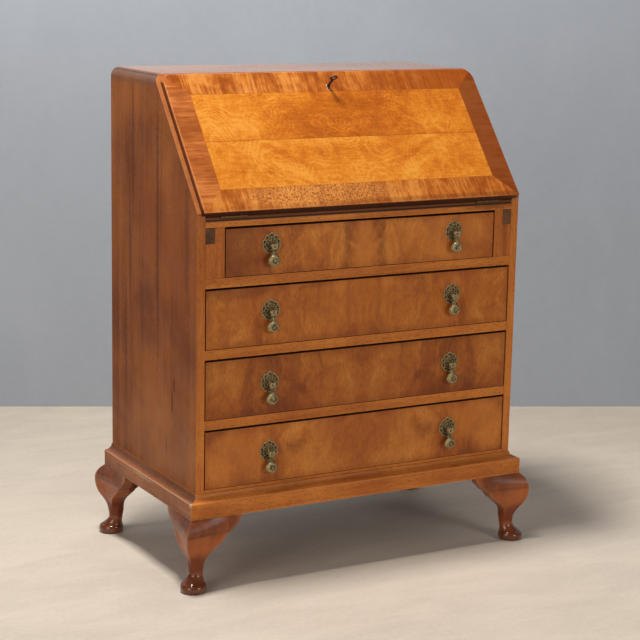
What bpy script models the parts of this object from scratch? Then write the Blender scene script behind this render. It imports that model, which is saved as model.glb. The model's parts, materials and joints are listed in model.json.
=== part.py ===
"""Slope-front writing bureau on a moulded plinth and four short cabriole legs.

Metres, +Z up, front towards -Y, floor at Z = 0, plinth centred on the Z axis.
The case is a stack: legs, plinth, bottom board, three deep drawers, a shallow
drawer between two sliding lopers, the writing bed, and the desk behind its fall.
"""
import math

import bmesh
import bpy
from mathutils import Matrix, Vector

# Gaps
FIT = 0.0003
OVERRUN = 0.004

# Case
CASE_WIDTH = 0.758
CASE_DEPTH = 0.431
SIDE_THICKNESS = 0.018
TOP_THICKNESS = 0.020
TOP_DEPTH = 0.221
CORNER_RADIUS = 0.020
BOTTOM_THICKNESS = 0.0065
BACK_THICKNESS = 0.007
BACK_RECESS = 0.0015
DESK_HEIGHT = 0.265
BED_THICKNESS = 0.020

# Plinth
LEG_HEIGHT = 0.152
FASCIA_HEIGHT = 0.032
MOULD_HEIGHT = 0.015
MOULD_FILLET = 0.0018
PLINTH_OVERHANG = 0.019
PLINTH_INNER_WIDTH = 0.030
PLINTH_RAIL_THICKNESS = 0.020
COVE_STEPS = 5

# Legs, sized at the knee, ear, ankle and pad
KNEE_BULGE = 0.0165
EAR_REACH = 0.114
EAR_THICKNESS = 0.022
POST_WIDTH = 0.046
ANKLE_RADIUS = 0.0126
ANKLE_SETBACK = 0.0190
PAD_RADIUS = 0.0242
PAD_SETBACK = 0.0110

# Each row is one level of a leg, top to bottom. It gives the height as a share of the
# leg, the bulge at the corner, halfway along an ear and at its tip as shares of the
# knee's, the reach, thickness and post as shares of theirs, and how round it has turned.
KNEE_LEVEL_SHARES = (
    (1.000, 0.00, 0.00, 0.00, 1.000, 0.90, 1.00, 0.00),
    (0.955, 0.40, 0.16, 0.00, 0.985, 0.95, 1.00, 0.00),
    (0.905, 0.72, 0.34, 0.00, 0.950, 1.00, 1.00, 0.00),
    (0.850, 0.93, 0.46, 0.02, 0.865, 1.05, 1.00, 0.00),
    (0.795, 1.00, 0.46, 0.06, 0.790, 1.10, 1.00, 0.00),
    (0.740, 0.99, 0.30, 0.08, 0.725, 1.20, 0.99, 0.00),
    (0.675, 0.90, 0.24, 0.14, 0.635, 1.34, 0.97, 0.02),
    (0.610, 0.74, 0.26, 0.22, 0.525, 1.48, 0.94, 0.06),
    (0.545, 0.54, 0.24, 0.24, 0.425, 1.58, 0.86, 0.20),
    (0.480, 0.28, 0.16, 0.20, 0.360, 1.50, 0.76, 0.44),
    (0.415, 0.04, 0.06, 0.10, 0.320, 1.40, 0.70, 0.74),
)
# The round part below: height, then radius and setback between ankle (0) and pad (1).
ROUND_LEVEL_SHARES = (
    (0.345, 0.13, 0.00),
    (0.290, 0.03, 0.00),
    (0.235, 0.00, 0.05),
    (0.200, 0.08, 0.20),
    (0.165, 0.33, 0.45),
    (0.130, 0.62, 0.70),
    (0.100, 0.86, 0.90),
    (0.068, 1.00, 1.00),
    (0.035, 0.98, 1.00),
    (0.012, 0.80, 1.00),
    (0.000, 0.52, 1.00),
)
# Radius of the leg where the round part meets the knee, as a share of the ankle's.
KNEE_CORE_SHARE = 1.22
# Places along the face of an ear, from the knee's arris to the tip.
EAR_FACE_SHARES = (0.18, 0.40, 0.70, 1.0)
# How far the back of an ear has come in from its tip, halfway along and at the post.
EAR_BACK_SHARES = (0.25, 0.70)
# Angles of a leg section's points on the round ankle, from the outer arris.
SECTION_ANGLES = (0, 24, 48, 72, 92, 108, 132, 156, 180, 204, 228, 252, 268, 288, 312, 336)

# Drawers, bottom to top
LOWER_OPENING = 0.1238
TOP_OPENING = 0.1010
LOWER_DRAWERS = 3
RAIL_THICKNESS = 0.0197
RAIL_DEPTH = 0.060
DUSTBOARD_THICKNESS = 0.010
DRAWER_TOP_GAP = 0.0022
DRAWER_SIDE_GAP = 0.0010
DRAWER_LENGTH = 0.400
DRAWER_FRONT_THICKNESS = 0.018
DRAWER_SIDE_THICKNESS = 0.009
DRAWER_SIDE_INSET = 0.0006
DRAWER_SIDE_DROP = 0.008
DRAWER_BOTTOM_THICKNESS = 0.004
DRAWER_BOTTOM_RISE = 0.008
GROOVE_DEPTH = 0.004
TAIL_LENGTH = 0.012
LOWER_TAILS = 4
TOP_TAILS = 3
# Width of a tail at its shoulder and its end, as shares of the tails' pitch.
TAIL_ROOT_SHARE = 0.50
TAIL_END_SHARE = 0.66

# Lopers
LOPER_WIDTH = 0.0203
LOPER_HEIGHT = 0.031
LOPER_LENGTH = 0.360
LOPER_STILE_WIDTH = 0.0212
LOPER_STILE_DEPTH = 0.040
LOPER_SHELF_THICKNESS = 0.012
LOPER_PEG_RADIUS = 0.003
LOPER_PEG_LENGTH = 0.008
LOPER_PEG_SETBACK = 0.020
LOPER_TRAVEL = 0.240

# Fall
FALL_THICKNESS = 0.020
FALL_REBATE = 0.0057
FALL_FOOT_GAP = 0.0004
FALL_SIDE_CLEARANCE = 0.0008
FALL_TOP_CLEARANCE = 0.0006
LIP_INSET = 0.009
LIP_TOP_DROP = 0.0010
LIP_CORNER_RADIUS = 0.020

# Fall hinges
HINGE_INSET = 0.079
HINGE_LENGTH = 0.060
LEAF_WIDTH = 0.024
LEAF_THICKNESS = 0.0014
KNUCKLE_RADIUS = 0.0030
KNUCKLE_CLEARANCE = 0.0004
HINGE_PIN_RADIUS = 0.0012
KNUCKLE_STEPS = 14

# Lock, bolt and key
LOCK_WIDTH = 0.052
LOCK_HEIGHT = 0.038
LOCK_DEPTH = 0.011
LOCK_CAVITY_RADIUS = 0.0075
LOCK_CAVITY_DEPTH = 0.0058
KEYHOLE_DROP = 0.023
KEYHOLE_RADIUS = 0.0026
KEYHOLE_SLOT = 0.0026
KEYHOLE_LENGTH = 0.0080
ESCUTCHEON_RIM = 0.0014
ESCUTCHEON_DEPTH = 0.0025
ESCUTCHEON_PROUD = 0.0004
BOLT_WIDTH = 0.020
BOLT_THICKNESS = 0.0026
BOLT_LENGTH = 0.024
BOLT_INSET = 0.0006
BOLT_TRAVEL = 0.012
STRIKE_WIDTH = 0.052
STRIKE_DEPTH = 0.016
STRIKE_THICKNESS = 0.0010
STRIKE_RIM = 0.0011
KEY_SHANK_RADIUS = 0.0020
KEY_REACH = 0.025
KEY_BIT_LENGTH = 0.0062
KEY_BIT_WIDTH = 0.0036
KEY_BIT_THICKNESS = 0.0018
KEY_BOW_WIDTH = 0.014
KEY_BOW_LENGTH = 0.011
KEY_BOW_ROD = 0.0015

# Drawer handles
HANDLE_INSET = 0.163
HANDLE_RISES = (0.004, 0.004, 0.009, 0.0115)
PLATE_RADIUS = 0.0205
PLATE_THICKNESS = 0.0016
PLATE_LOBES = 10
PLATE_LOBE_POINTS = 3
PLATE_LOBE_SHARE = 0.06
PLATE_CREST_SHARE = 0.16
PLATE_CREST_POWER = 8
PLATE_HOLES = 8
PLATE_HOLE_RADIUS = 0.0026
PLATE_HOLE_RING_SHARE = 0.66
POST_RADIUS = 0.0022
POST_REACH = 0.0110
POST_DROP = 0.0018
NUT_RADIUS = 0.0048
NUT_THICKNESS = 0.0030
EYE_RADIUS = 0.0034
EYE_BORE = 0.0019
EYE_THICKNESS = 0.0030
CROSSBAR_RADIUS = 0.0014
YOKE_WIDTH = 0.0116
YOKE_THICKNESS = 0.0034
YOKE_LENGTH = 0.0076
YOKE_SLOT_CLEARANCE = 0.0005
DROP_LENGTH = 0.043
DROP_RADIUS = 0.0135
DROP_FLATTENING_SHARE = 0.34
# The pear's outline: distance below the pivot and radius, as shares of its sizes.
PEAR_SHARES = (
    (0.140, 0.00), (0.145, 0.17), (0.29, 0.18), (0.39, 0.30), (0.48, 0.58),
    (0.58, 0.86), (0.70, 1.00), (0.82, 0.93), (0.92, 0.66), (0.98, 0.32), (1.00, 0.00),
)

# Desk interior
UNIT_DEPTH = 0.185
UNIT_WALL = 0.005
UNIT_DRAWER_HEIGHT = 0.056
UNIT_COLUMNS = 6
UNIT_BAYS = 3
UNIT_CLEARANCE = 0.0008
SMALL_DRAWER_WALL = 0.006
SMALL_DRAWER_SETBACK = 0.012
SMALL_DRAWER_GAP = 0.0008
SMALL_KNOB_RADIUS = 0.006
SMALL_KNOB_LENGTH = 0.012
KNOB_SHARES = ((0.0, 0.0), (0.55, 0.04), (0.90, 0.20), (1.0, 0.42), (0.80, 0.66), (0.45, 0.80), (0.45, 1.15))

# Where everything stands, worked out from the sizes above
HALF_CASE = CASE_WIDTH / 2
HALF_INNER = HALF_CASE - SIDE_THICKNESS
HALF_PLINTH = HALF_CASE + PLINTH_OVERHANG
PLINTH_DEPTH = CASE_DEPTH + PLINTH_OVERHANG
BACK_Y = PLINTH_DEPTH / 2
FRONT_Y = BACK_Y - CASE_DEPTH
PLINTH_FRONT_Y = FRONT_Y - PLINTH_OVERHANG
FASCIA_TOP_Z = LEG_HEIGHT + FASCIA_HEIGHT
CASE_FOOT_Z = FASCIA_TOP_Z + MOULD_HEIGHT
BOTTOM_Z = CASE_FOOT_Z + BOTTOM_THICKNESS
LOWER_PITCH = LOWER_OPENING + RAIL_THICKNESS
TOP_DRAWER_Z = BOTTOM_Z + LOWER_DRAWERS * LOWER_PITCH
BED_UNDER_Z = TOP_DRAWER_Z + TOP_OPENING
BED_Z = BED_UNDER_Z + BED_THICKNESS
TOP_Z = BED_Z + DESK_HEIGHT
TOP_UNDER_Z = TOP_Z - TOP_THICKNESS
SLOPE_RUN = CASE_DEPTH - TOP_DEPTH
SLOPE_REACH = math.hypot(SLOPE_RUN, DESK_HEIGHT)
SLOPE_ANGLE = math.atan2(DESK_HEIGHT, SLOPE_RUN) - math.asin(FALL_REBATE / SLOPE_REACH)
BACK_PANEL_Y = BACK_Y - BACK_RECESS - BACK_THICKNESS

# The fall's own frame: X across, Y up its inner face, Z out of its front face
FALL_FRAME = Matrix.Translation((0, FRONT_Y, BED_Z)) @ Matrix.Rotation(SLOPE_ANGLE, 4, 'X')
INNER_TOP_CLEAR_Z = TOP_UNDER_Z - FALL_TOP_CLEARANCE - BED_Z
FALL_INNER_LENGTH = (INNER_TOP_CLEAR_Z - FALL_REBATE * math.cos(SLOPE_ANGLE)) / math.sin(SLOPE_ANGLE)
FALL_LENGTH = (DESK_HEIGHT + FALL_THICKNESS) / math.sin(SLOPE_ANGLE)
KEYHOLE_Y = FALL_INNER_LENGTH - KEYHOLE_DROP

COLOURS = {
    'walnut': (0.27, 0.105, 0.035),
    'side walnut': (0.18, 0.075, 0.035),
    'figured walnut': (0.42, 0.17, 0.045),
    'leg walnut': (0.12, 0.035, 0.018),
    'plain oak': (0.42, 0.27, 0.14),
    'end grain': (0.09, 0.055, 0.035),
    'aged brass': (0.24, 0.20, 0.11),
    'dark iron': (0.035, 0.028, 0.024),
}
ROUGHNESSES = {'aged brass': 0.42, 'dark iron': 0.5, 'plain oak': 0.7}
METALS = ('aged brass', 'dark iron')
DEFAULT_ROUGHNESS = 0.38


def start_scene():
    """Empty the scene and make the collections for the pieces and the cutters."""
    for old in list(bpy.data.objects):
        bpy.data.objects.remove(old, do_unlink=True)
    homes = {}
    for key in ('writing_bureau', 'cutters'):
        homes[key] = bpy.data.collections.new(key)
        bpy.context.scene.collection.children.link(homes[key])
    return homes


HOMES = start_scene()


def make_materials():
    made = {}
    for name, colour in COLOURS.items():
        made[name] = bpy.data.materials.new(name)
        made[name].use_nodes = True
        shader = made[name].node_tree.nodes['Principled BSDF']
        shader.inputs['Base Color'].default_value = (*colour, 1.0)
        shader.inputs['Roughness'].default_value = ROUGHNESSES.get(name, DEFAULT_ROUGHNESS)
        shader.inputs['Metallic'].default_value = 1.0 if name in METALS else 0.0
    return made


MATERIALS = make_materials()


def add_object(name, mesh, material=None):
    """Put a mesh in the scene, as a piece if it has a material and else as a cutter."""
    obj = bpy.data.objects.new(name, mesh)
    HOMES['writing_bureau' if material else 'cutters'].objects.link(obj)
    if material:
        mesh.materials.append(MATERIALS[material])
    else:
        obj.hide_render = True
        obj.display_type = 'WIRE'
    return obj


def mesh_from(name, bm):
    mesh = bpy.data.meshes.new(name)
    bmesh.ops.recalc_face_normals(bm, faces=bm.faces)
    bm.to_mesh(mesh)
    bm.free()
    return mesh


def block(name, x, y, z, material=None, frame=None):
    """A box between pairs of coordinates, in the world or in a given frame."""
    bm = bmesh.new()
    bmesh.ops.create_cube(bm, size=1.0)
    for vert in bm.verts:
        for axis, span in enumerate((x, y, z)):
            vert.co[axis] = span[1] if vert.co[axis] > 0 else span[0]
    obj = add_object(name, mesh_from(name, bm), material)
    if frame:
        obj.matrix_world = frame
    return obj


def rod(name, radius, length, steps, frame, material=None):
    """A cylinder along its frame's Z axis, starting at the frame's origin."""
    bm = bmesh.new()
    bmesh.ops.create_cone(bm, cap_ends=True, segments=steps, radius1=radius, radius2=radius, depth=length,
                          matrix=Matrix.Translation((0, 0, length / 2)))
    obj = add_object(name, mesh_from(name, bm), material)
    obj.matrix_world = frame
    return obj


def prism(name, loops, depth, frame, material=None):
    """A flat outline, with holes if there are more loops, drawn out along its frame's Z axis."""
    curve = bpy.data.curves.new(name, 'CURVE')
    curve.dimensions = '2D'
    curve.fill_mode = 'BOTH'
    curve.extrude = depth / 2
    for loop in loops:
        spline = curve.splines.new('POLY')
        spline.points.add(len(loop) - 1)
        for point, place in zip(spline.points, loop):
            point.co = (*place, 0, 1)
        spline.use_cyclic_u = True
    return solid_from_curve(name, curve, frame @ Matrix.Translation((0, 0, depth / 2)), material)


def solid_from_curve(name, curve, frame, material=None):
    """Turn a curve into a closed mesh in its frame, with its caps welded on."""
    drawn = bpy.data.objects.new(name, curve)
    bpy.context.scene.collection.objects.link(drawn)
    seen = drawn.evaluated_get(bpy.context.evaluated_depsgraph_get())
    bm = bmesh.new()
    bm.from_mesh(bpy.data.meshes.new_from_object(seen))
    bmesh.ops.remove_doubles(bm, verts=bm.verts, dist=FIT / 30)
    bpy.data.objects.remove(drawn, do_unlink=True)
    obj = add_object(name, mesh_from(name, bm), material)
    obj.matrix_world = frame
    return obj


def turned(name, profile, steps, frame, material=None, flattening_share=1.0):
    """Spin a profile of (radius, height) points, top to bottom, and flatten it along Y."""
    bm = bmesh.new()
    verts = [bm.verts.new((radius, 0, height)) for radius, height in profile]
    for upper, lower in zip(verts, verts[1:]):
        bm.edges.new((upper, lower))
    mesh = bpy.data.meshes.new(name)
    bm.to_mesh(mesh)
    bm.free()
    obj = add_object(name, mesh, material)
    spin = obj.modifiers.new('turn', 'SCREW')
    spin.steps = steps
    spin.render_steps = steps
    spin.use_merge_vertices = True
    spin.merge_threshold = FIT / 30
    obj.matrix_world = frame @ Matrix.Diagonal((1, flattening_share, 1, 1))
    return obj


def combine(obj, tool, operation):
    step = obj.modifiers.new(operation.lower() + ' ' + tool.name, 'BOOLEAN')
    step.operation = operation
    step.object = tool
    step.solver = 'EXACT'
    return obj


def cut(obj, *tools):
    for tool in tools:
        combine(obj, tool, 'DIFFERENCE')
    return obj


def join(obj, *tools):
    for tool in tools:
        combine(obj, tool, 'UNION')
    return obj


def trim(obj, tool):
    return combine(obj, tool, 'INTERSECT')


def pivot(name, place, carrier=None):
    """An empty on a joint's axis, which the pieces that move there hang from."""
    empty = bpy.data.objects.new(name, None)
    HOMES['writing_bureau'].objects.link(empty)
    empty.matrix_world = Matrix.Translation(place)
    bpy.context.view_layer.update()
    if carrier:
        hang(carrier, empty)
    return empty


def hang(carrier, *pieces):
    """Parent pieces to an empty, where they stand."""
    bpy.context.view_layer.update()
    for piece in pieces:
        piece.parent = carrier
        piece.matrix_parent_inverse = carrier.matrix_world.inverted()


def front_frame(y=0.0):
    """Outlines drawn as seen from the front, running out towards -Y from a given depth."""
    return Matrix.Translation((0, y, 0)) @ Matrix.Rotation(math.radians(90), 4, 'X')


def side_frame(x=0.0):
    """Outlines drawn in Y and Z, running out towards +X."""
    turn = Matrix(((0, 0, 1, 0), (1, 0, 0, 0), (0, 1, 0, 0), (0, 0, 0, 1)))
    return Matrix.Translation((x, 0, 0)) @ turn


def arc(centre, radius, start, end, steps):
    """Points on an arc between two angles in degrees, both ends included."""
    turns = [math.radians(start + (end - start) * i / steps) for i in range(steps + 1)]
    return [(centre[0] + radius * math.cos(a), centre[1] + radius * math.sin(a)) for a in turns]


def rounded_envelope(name, half_width, top, radius):
    """A deep block with its two upper corners rounded, which trims what it crosses."""
    foot = CASE_FOOT_Z - OVERRUN
    right = arc((half_width - radius, top - radius), radius, 0, 90, 8)
    left = arc((radius - half_width, top - radius), radius, 90, 180, 8)
    outline = [(-half_width, foot), (half_width, foot)] + right + left
    length = PLINTH_DEPTH + 2 * OVERRUN
    return prism(name, [outline], length, front_frame(BACK_Y + OVERRUN))


def slope_cutter():
    """Everything in front of the plane that the closed fall's lip lies on."""
    far = 2 * FALL_LENGTH
    reach = HALF_CASE + OVERRUN
    return block('slope_cut', (-reach, reach), (-far, far), (FALL_REBATE, far), frame=FALL_FRAME)


def make_case():
    rounding = rounded_envelope('case_rounding', HALF_CASE, TOP_Z, CORNER_RADIUS)
    slope = slope_cutter()
    full_depth = (FRONT_Y, BACK_Y)
    for name, x in (('left_side', (-HALF_CASE, -HALF_INNER)), ('right_side', (HALF_INNER, HALF_CASE))):
        side = block(name, x, full_depth, (CASE_FOOT_Z + FIT, TOP_Z), 'side walnut')
        cut(trim(side, rounding), slope)
    inner = HALF_INNER - FIT
    top = block('top_board', (-inner, inner), full_depth, (TOP_UNDER_Z, TOP_Z), 'walnut')
    cut(trim(top, rounding), slope)
    block('back_panel', (-inner, inner), (BACK_PANEL_Y, BACK_PANEL_Y + BACK_THICKNESS),
          (BOTTOM_Z + FIT, TOP_UNDER_Z - FIT), 'plain oak')
    inner_depth = (FRONT_Y, BACK_PANEL_Y - FIT)
    bed = block('writing_bed', (-inner, inner), inner_depth, (BED_UNDER_Z, BED_Z), 'walnut')
    block('bottom_board', (-inner, inner), full_depth, (CASE_FOOT_Z + FIT, BOTTOM_Z), 'walnut')
    return top, bed


def make_dustboards():
    """A front rail with a thin board behind it, under every drawer but the lowest."""
    inner = HALF_INNER - FIT
    for i, name in enumerate(('lower_dustboard', 'middle_dustboard', 'upper_dustboard')):
        top = BOTTOM_Z + (i + 1) * LOWER_PITCH
        rail = block(name, (-inner, inner), (FRONT_Y, FRONT_Y + RAIL_DEPTH), (top - RAIL_THICKNESS, top), 'walnut')
        board = block(name + '_board', (-inner, inner), (FRONT_Y + RAIL_DEPTH / 2, BACK_PANEL_Y - FIT),
                      (top - DUSTBOARD_THICKNESS, top))
        join(rail, board)


def make_plinth():
    """A mitred frame: the moulding's section carried round the front and both sides."""
    inner = -PLINTH_INNER_WIDTH
    lip = MOULD_FILLET
    section = [(inner, LEG_HEIGHT), (PLINTH_OVERHANG, LEG_HEIGHT), (PLINTH_OVERHANG, FASCIA_TOP_Z)]
    rise = MOULD_HEIGHT - 2 * MOULD_FILLET
    run = PLINTH_OVERHANG - 2 * MOULD_FILLET
    for i in range(COVE_STEPS + 1):
        turn = math.radians(90) * i / COVE_STEPS
        section.append((PLINTH_OVERHANG - lip - run * math.sin(turn),
                        FASCIA_TOP_Z + lip + rise * (1 - math.cos(turn))))
    section += [(lip, CASE_FOOT_Z), (inner, CASE_FOOT_Z)]
    bm = bmesh.new()
    rings = []
    for side, front in ((-1, False), (-1, True), (1, True), (1, False)):
        ring = [bm.verts.new((side * (HALF_CASE + out), FRONT_Y - out if front else BACK_Y, z))
                for out, z in section]
        rings.append(ring)
    for near, far in zip(rings, rings[1:]):
        for i in range(len(section)):
            j = (i + 1) % len(section)
            bm.faces.new((near[i], near[j], far[j], far[i]))
    bm.faces.new(rings[0])
    bm.faces.new(reversed(rings[-1]))
    add_object('plinth', mesh_from('plinth', bm), 'walnut')
    half = HALF_CASE - PLINTH_INNER_WIDTH - FIT
    block('plinth_back_rail', (-half, half), (BACK_Y - PLINTH_RAIL_THICKNESS, BACK_Y),
          (LEG_HEIGHT, CASE_FOOT_Z), 'plain oak')


def round_section(radius, setback):
    """Points of the round leg, from its outer arris, in distances in from the corner."""
    points = []
    for angle in SECTION_ANGLES:
        turn = math.radians(225 + angle)
        points.append((setback + radius * math.cos(turn), setback + radius * math.sin(turn)))
    return points


def square_section(bulge, middle, tip, reach, thickness, post):
    """Points of the knee and its two ears, in the same order as a round section's."""
    face = []
    for share in EAR_FACE_SHARES:
        ends = bulge * (1 - share) * (1 - 2 * share) + tip * share * (2 * share - 1)
        face.append((share * (reach + bulge) - bulge, -ends - 4 * middle * share * (1 - share)))
    slack = min(post, reach) - thickness
    tip_share, post_share = EAR_BACK_SHARES
    half = face + [(reach, thickness), ((post + reach) / 2, thickness + slack * tip_share),
                   (post, thickness + slack * post_share)]
    mirrored = [(b, a) for a, b in reversed(half)]
    return [(-bulge, -bulge)] + half + [(post, post)] + mirrored


def leg_levels():
    """Heights and section points of a leg, top to bottom."""
    levels = []
    circle = round_section(ANKLE_RADIUS * KNEE_CORE_SHARE, ANKLE_SETBACK)
    for height, bulge, middle, tip, reach, thickness, post, turned_share in KNEE_LEVEL_SHARES:
        square = square_section(bulge * KNEE_BULGE, middle * KNEE_BULGE, tip * KNEE_BULGE, reach * EAR_REACH,
                                thickness * EAR_THICKNESS, post * POST_WIDTH)
        mixed = [(a + (c - a) * turned_share, b + (d - b) * turned_share)
                 for (a, b), (c, d) in zip(square, circle)]
        levels.append((height * LEG_HEIGHT, mixed))
    for height, radius_share, setback_share in ROUND_LEVEL_SHARES:
        radius = ANKLE_RADIUS + (PAD_RADIUS - ANKLE_RADIUS) * radius_share
        setback = ANKLE_SETBACK + (PAD_SETBACK - ANKLE_SETBACK) * setback_share
        levels.append((height * LEG_HEIGHT, round_section(radius, setback)))
    return levels


def make_legs():
    levels = leg_levels()
    for name, side, end in (('front_left_leg', -1, -1), ('front_right_leg', 1, -1),
                            ('rear_left_leg', -1, 1), ('rear_right_leg', 1, 1)):
        bm = bmesh.new()
        rings = []
        for height, points in levels:
            z = min(height, LEG_HEIGHT - FIT)
            rings.append([bm.verts.new((side * (HALF_PLINTH - a), end * (BACK_Y - b), z)) for a, b in points])
        for upper, lower in zip(rings, rings[1:]):
            for i in range(len(upper)):
                j = (i + 1) % len(upper)
                bm.faces.new((upper[i], upper[j], lower[j], lower[i]))
        bm.faces.new(rings[0])
        bm.faces.new(reversed(rings[-1]))
        leg = add_object(name, mesh_from(name, bm), 'leg walnut')
        leg.data.shade_smooth()
        leg.data.set_sharp_from_angle(angle=math.radians(40))


def make_lopers():
    """Housings beside the top drawer, and the bearers that slide out of them."""
    top = BED_UNDER_Z - FIT
    slot_foot = top - LOPER_HEIGHT
    inner = HALF_INNER - FIT
    slot_x = inner - LOPER_WIDTH - FIT
    stile_x = slot_x - LOPER_STILE_WIDTH
    rear = BACK_PANEL_Y - FIT
    foot = TOP_DRAWER_Z + FIT
    slot_z = slot_foot - FIT
    peg_y = FRONT_Y + LOPER_LENGTH - LOPER_PEG_SETBACK
    for side, word in ((-1, 'left'), (1, 'right')):
        def span(a, b):
            return tuple(sorted((side * a, side * b)))
        name = word + '_loper_housing'
        outline = [(side * x, z) for x, z in ((stile_x, foot), (inner, foot), (inner, slot_z), (slot_x, slot_z),
                                              (slot_x, top), (stile_x, top))]
        housing = prism(name, [outline], LOPER_STILE_DEPTH, front_frame(FRONT_Y + LOPER_STILE_DEPTH), 'walnut')
        depth = (FRONT_Y + LOPER_STILE_DEPTH / 2, rear)
        wall = block(name + '_wall', span(stile_x, slot_x), depth, (foot, top))
        shelf = block(name + '_shelf', span((stile_x + slot_x) / 2, inner), depth,
                      (slot_z - LOPER_SHELF_THICKNESS, slot_z))
        middle = side * (slot_x + inner) / 2
        groove_x = LOPER_PEG_RADIUS + FIT
        groove = block(name + '_groove', (middle - groove_x, middle + groove_x),
                       (peg_y - LOPER_TRAVEL - groove_x, peg_y + groove_x), (slot_z - LOPER_PEG_LENGTH - FIT, top))
        cut(join(housing, wall, shelf), groove)
        home = pivot(word + '_loper_slide', (middle, FRONT_Y, (top + slot_foot) / 2))
        loper = block(word + '_loper', span(slot_x + FIT, inner - FIT), (FRONT_Y, FRONT_Y + LOPER_LENGTH),
                      (slot_foot, top - FIT), 'end grain')
        peg = rod(word + '_loper_peg', LOPER_PEG_RADIUS, LOPER_PEG_LENGTH + LOPER_HEIGHT / 2, 10,
                  Matrix.Translation((middle, peg_y, slot_z - LOPER_PEG_LENGTH)))
        join(loper, peg)
        hang(home, loper)
    return stile_x


def keyhole_outline(radius, half_slot, length):
    """A round hole with a slot below it, drawn up the fall."""
    spread = math.degrees(math.asin(half_slot / radius))
    head = arc((0, KEYHOLE_Y), radius, -90 + spread, 270 - spread, 12)
    foot = arc((0, KEYHOLE_Y + half_slot - length), half_slot, 180, 360, 5)
    return head + foot


def make_fall(top_board):
    """The fall with its lock, and the bolt and key that move in it."""
    home = pivot('fall_axis', (0, FRONT_Y, BED_Z))
    half_lip = HALF_CASE - LIP_INSET
    half_inner = HALF_INNER - FALL_SIDE_CLEARANCE
    lip_back = FALL_REBATE + FIT
    fall = block('fall_board', (-half_lip, half_lip), (FALL_FOOT_GAP, FALL_LENGTH), (lip_back, FALL_THICKNESS),
                 'figured walnut', FALL_FRAME)
    trim(fall, rounded_envelope('fall_rounding', half_lip, TOP_Z - LIP_TOP_DROP, LIP_CORNER_RADIUS))
    inner = block('fall_inner', (-half_inner, half_inner), (FALL_FOOT_GAP, FALL_INNER_LENGTH),
                  (0, (lip_back + FALL_THICKNESS) / 2), frame=FALL_FRAME)
    join(fall, inner)

    half_lock = LOCK_WIDTH / 2
    lock_y = (FALL_INNER_LENGTH - LOCK_HEIGHT, FALL_INNER_LENGTH)
    mortise = block('lock_mortise', (-half_lock - FIT, half_lock + FIT), (lock_y[0] - FIT, lock_y[1] + FIT),
                    (-OVERRUN, LOCK_DEPTH + FIT), frame=FALL_FRAME)
    lock = block('lock_case', (-half_lock, half_lock), lock_y, (0, LOCK_DEPTH), 'aged brass', FALL_FRAME)
    key_frame = FALL_FRAME @ Matrix.Translation((0, KEYHOLE_Y, 0))
    cavity = rod('lock_cavity', LOCK_CAVITY_RADIUS, LOCK_CAVITY_DEPTH + OVERRUN, 20,
                 key_frame @ Matrix.Translation((0, 0, LOCK_DEPTH - LOCK_CAVITY_DEPTH)))
    half_bolt = BOLT_WIDTH / 2
    bolt_z = (BOLT_INSET, BOLT_INSET + BOLT_THICKNESS)
    bolt_y = (FALL_INNER_LENGTH - FIT - BOLT_LENGTH, FALL_INNER_LENGTH - FIT)
    channel = block('bolt_channel', (-half_bolt - FIT, half_bolt + FIT),
                    (bolt_y[0] - FIT, bolt_y[1] + BOLT_TRAVEL + OVERRUN / 2),
                    (bolt_z[0] - FIT, bolt_z[1] + FIT), frame=FALL_FRAME)
    cut(lock, cavity, channel)
    bolt = block('lock_bolt', (-half_bolt, half_bolt), bolt_y, bolt_z, 'dark iron', FALL_FRAME)

    rim = ESCUTCHEON_RIM
    hole = keyhole_outline(KEYHOLE_RADIUS, KEYHOLE_SLOT / 2, KEYHOLE_LENGTH)
    ring = keyhole_outline(KEYHOLE_RADIUS + rim, KEYHOLE_SLOT / 2 + rim, KEYHOLE_LENGTH + rim)
    seat = keyhole_outline(KEYHOLE_RADIUS + rim + FIT, KEYHOLE_SLOT / 2 + rim + FIT, KEYHOLE_LENGTH + rim + FIT)
    seat_z = FALL_THICKNESS - ESCUTCHEON_DEPTH
    escutcheon = prism('escutcheon', [ring, hole], ESCUTCHEON_DEPTH + ESCUTCHEON_PROUD,
                       FALL_FRAME @ Matrix.Translation((0, 0, seat_z)), 'aged brass')
    seat_cut = prism('escutcheon_seat', [seat], ESCUTCHEON_DEPTH + OVERRUN,
                     FALL_FRAME @ Matrix.Translation((0, 0, seat_z - FIT)))
    hole_cut = prism('keyhole', [hole], FALL_THICKNESS, FALL_FRAME @ Matrix.Translation((0, 0, LOCK_DEPTH)))
    cut(fall, mortise, seat_cut, hole_cut)

    channel_run = (TOP_UNDER_Z - BED_Z - (bolt_z[1] + FIT) * math.cos(SLOPE_ANGLE)) / math.sin(SLOPE_ANGLE)
    strike_y = (FALL_FRAME @ Vector((0, channel_run, bolt_z[1] + FIT))).y - STRIKE_RIM
    half_strike = STRIKE_WIDTH / 2
    strike_top = TOP_UNDER_Z + STRIKE_THICKNESS
    strike = block('strike_plate', (-half_strike, half_strike), (strike_y, strike_y + STRIKE_DEPTH),
                   (TOP_UNDER_Z, strike_top), 'aged brass')
    recess = block('strike_recess', (-half_strike - FIT, half_strike + FIT),
                   (strike_y - FIT, strike_y + STRIKE_DEPTH + FIT), (TOP_UNDER_Z - OVERRUN, strike_top + FIT))
    cut(top_board, recess, channel)
    cut(strike, channel)

    key = make_key(key_frame)
    hang(home, fall, lock, escutcheon)
    bolt_home = pivot('bolt_slide', FALL_FRAME @ Matrix.Translation((0, bolt_y[0], BOLT_INSET)).to_translation(), home)
    hang(bolt_home, bolt)
    key_home = pivot('key_axis', key_frame.to_translation(), home)
    hang(key_home, key)
    return home, fall


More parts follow.
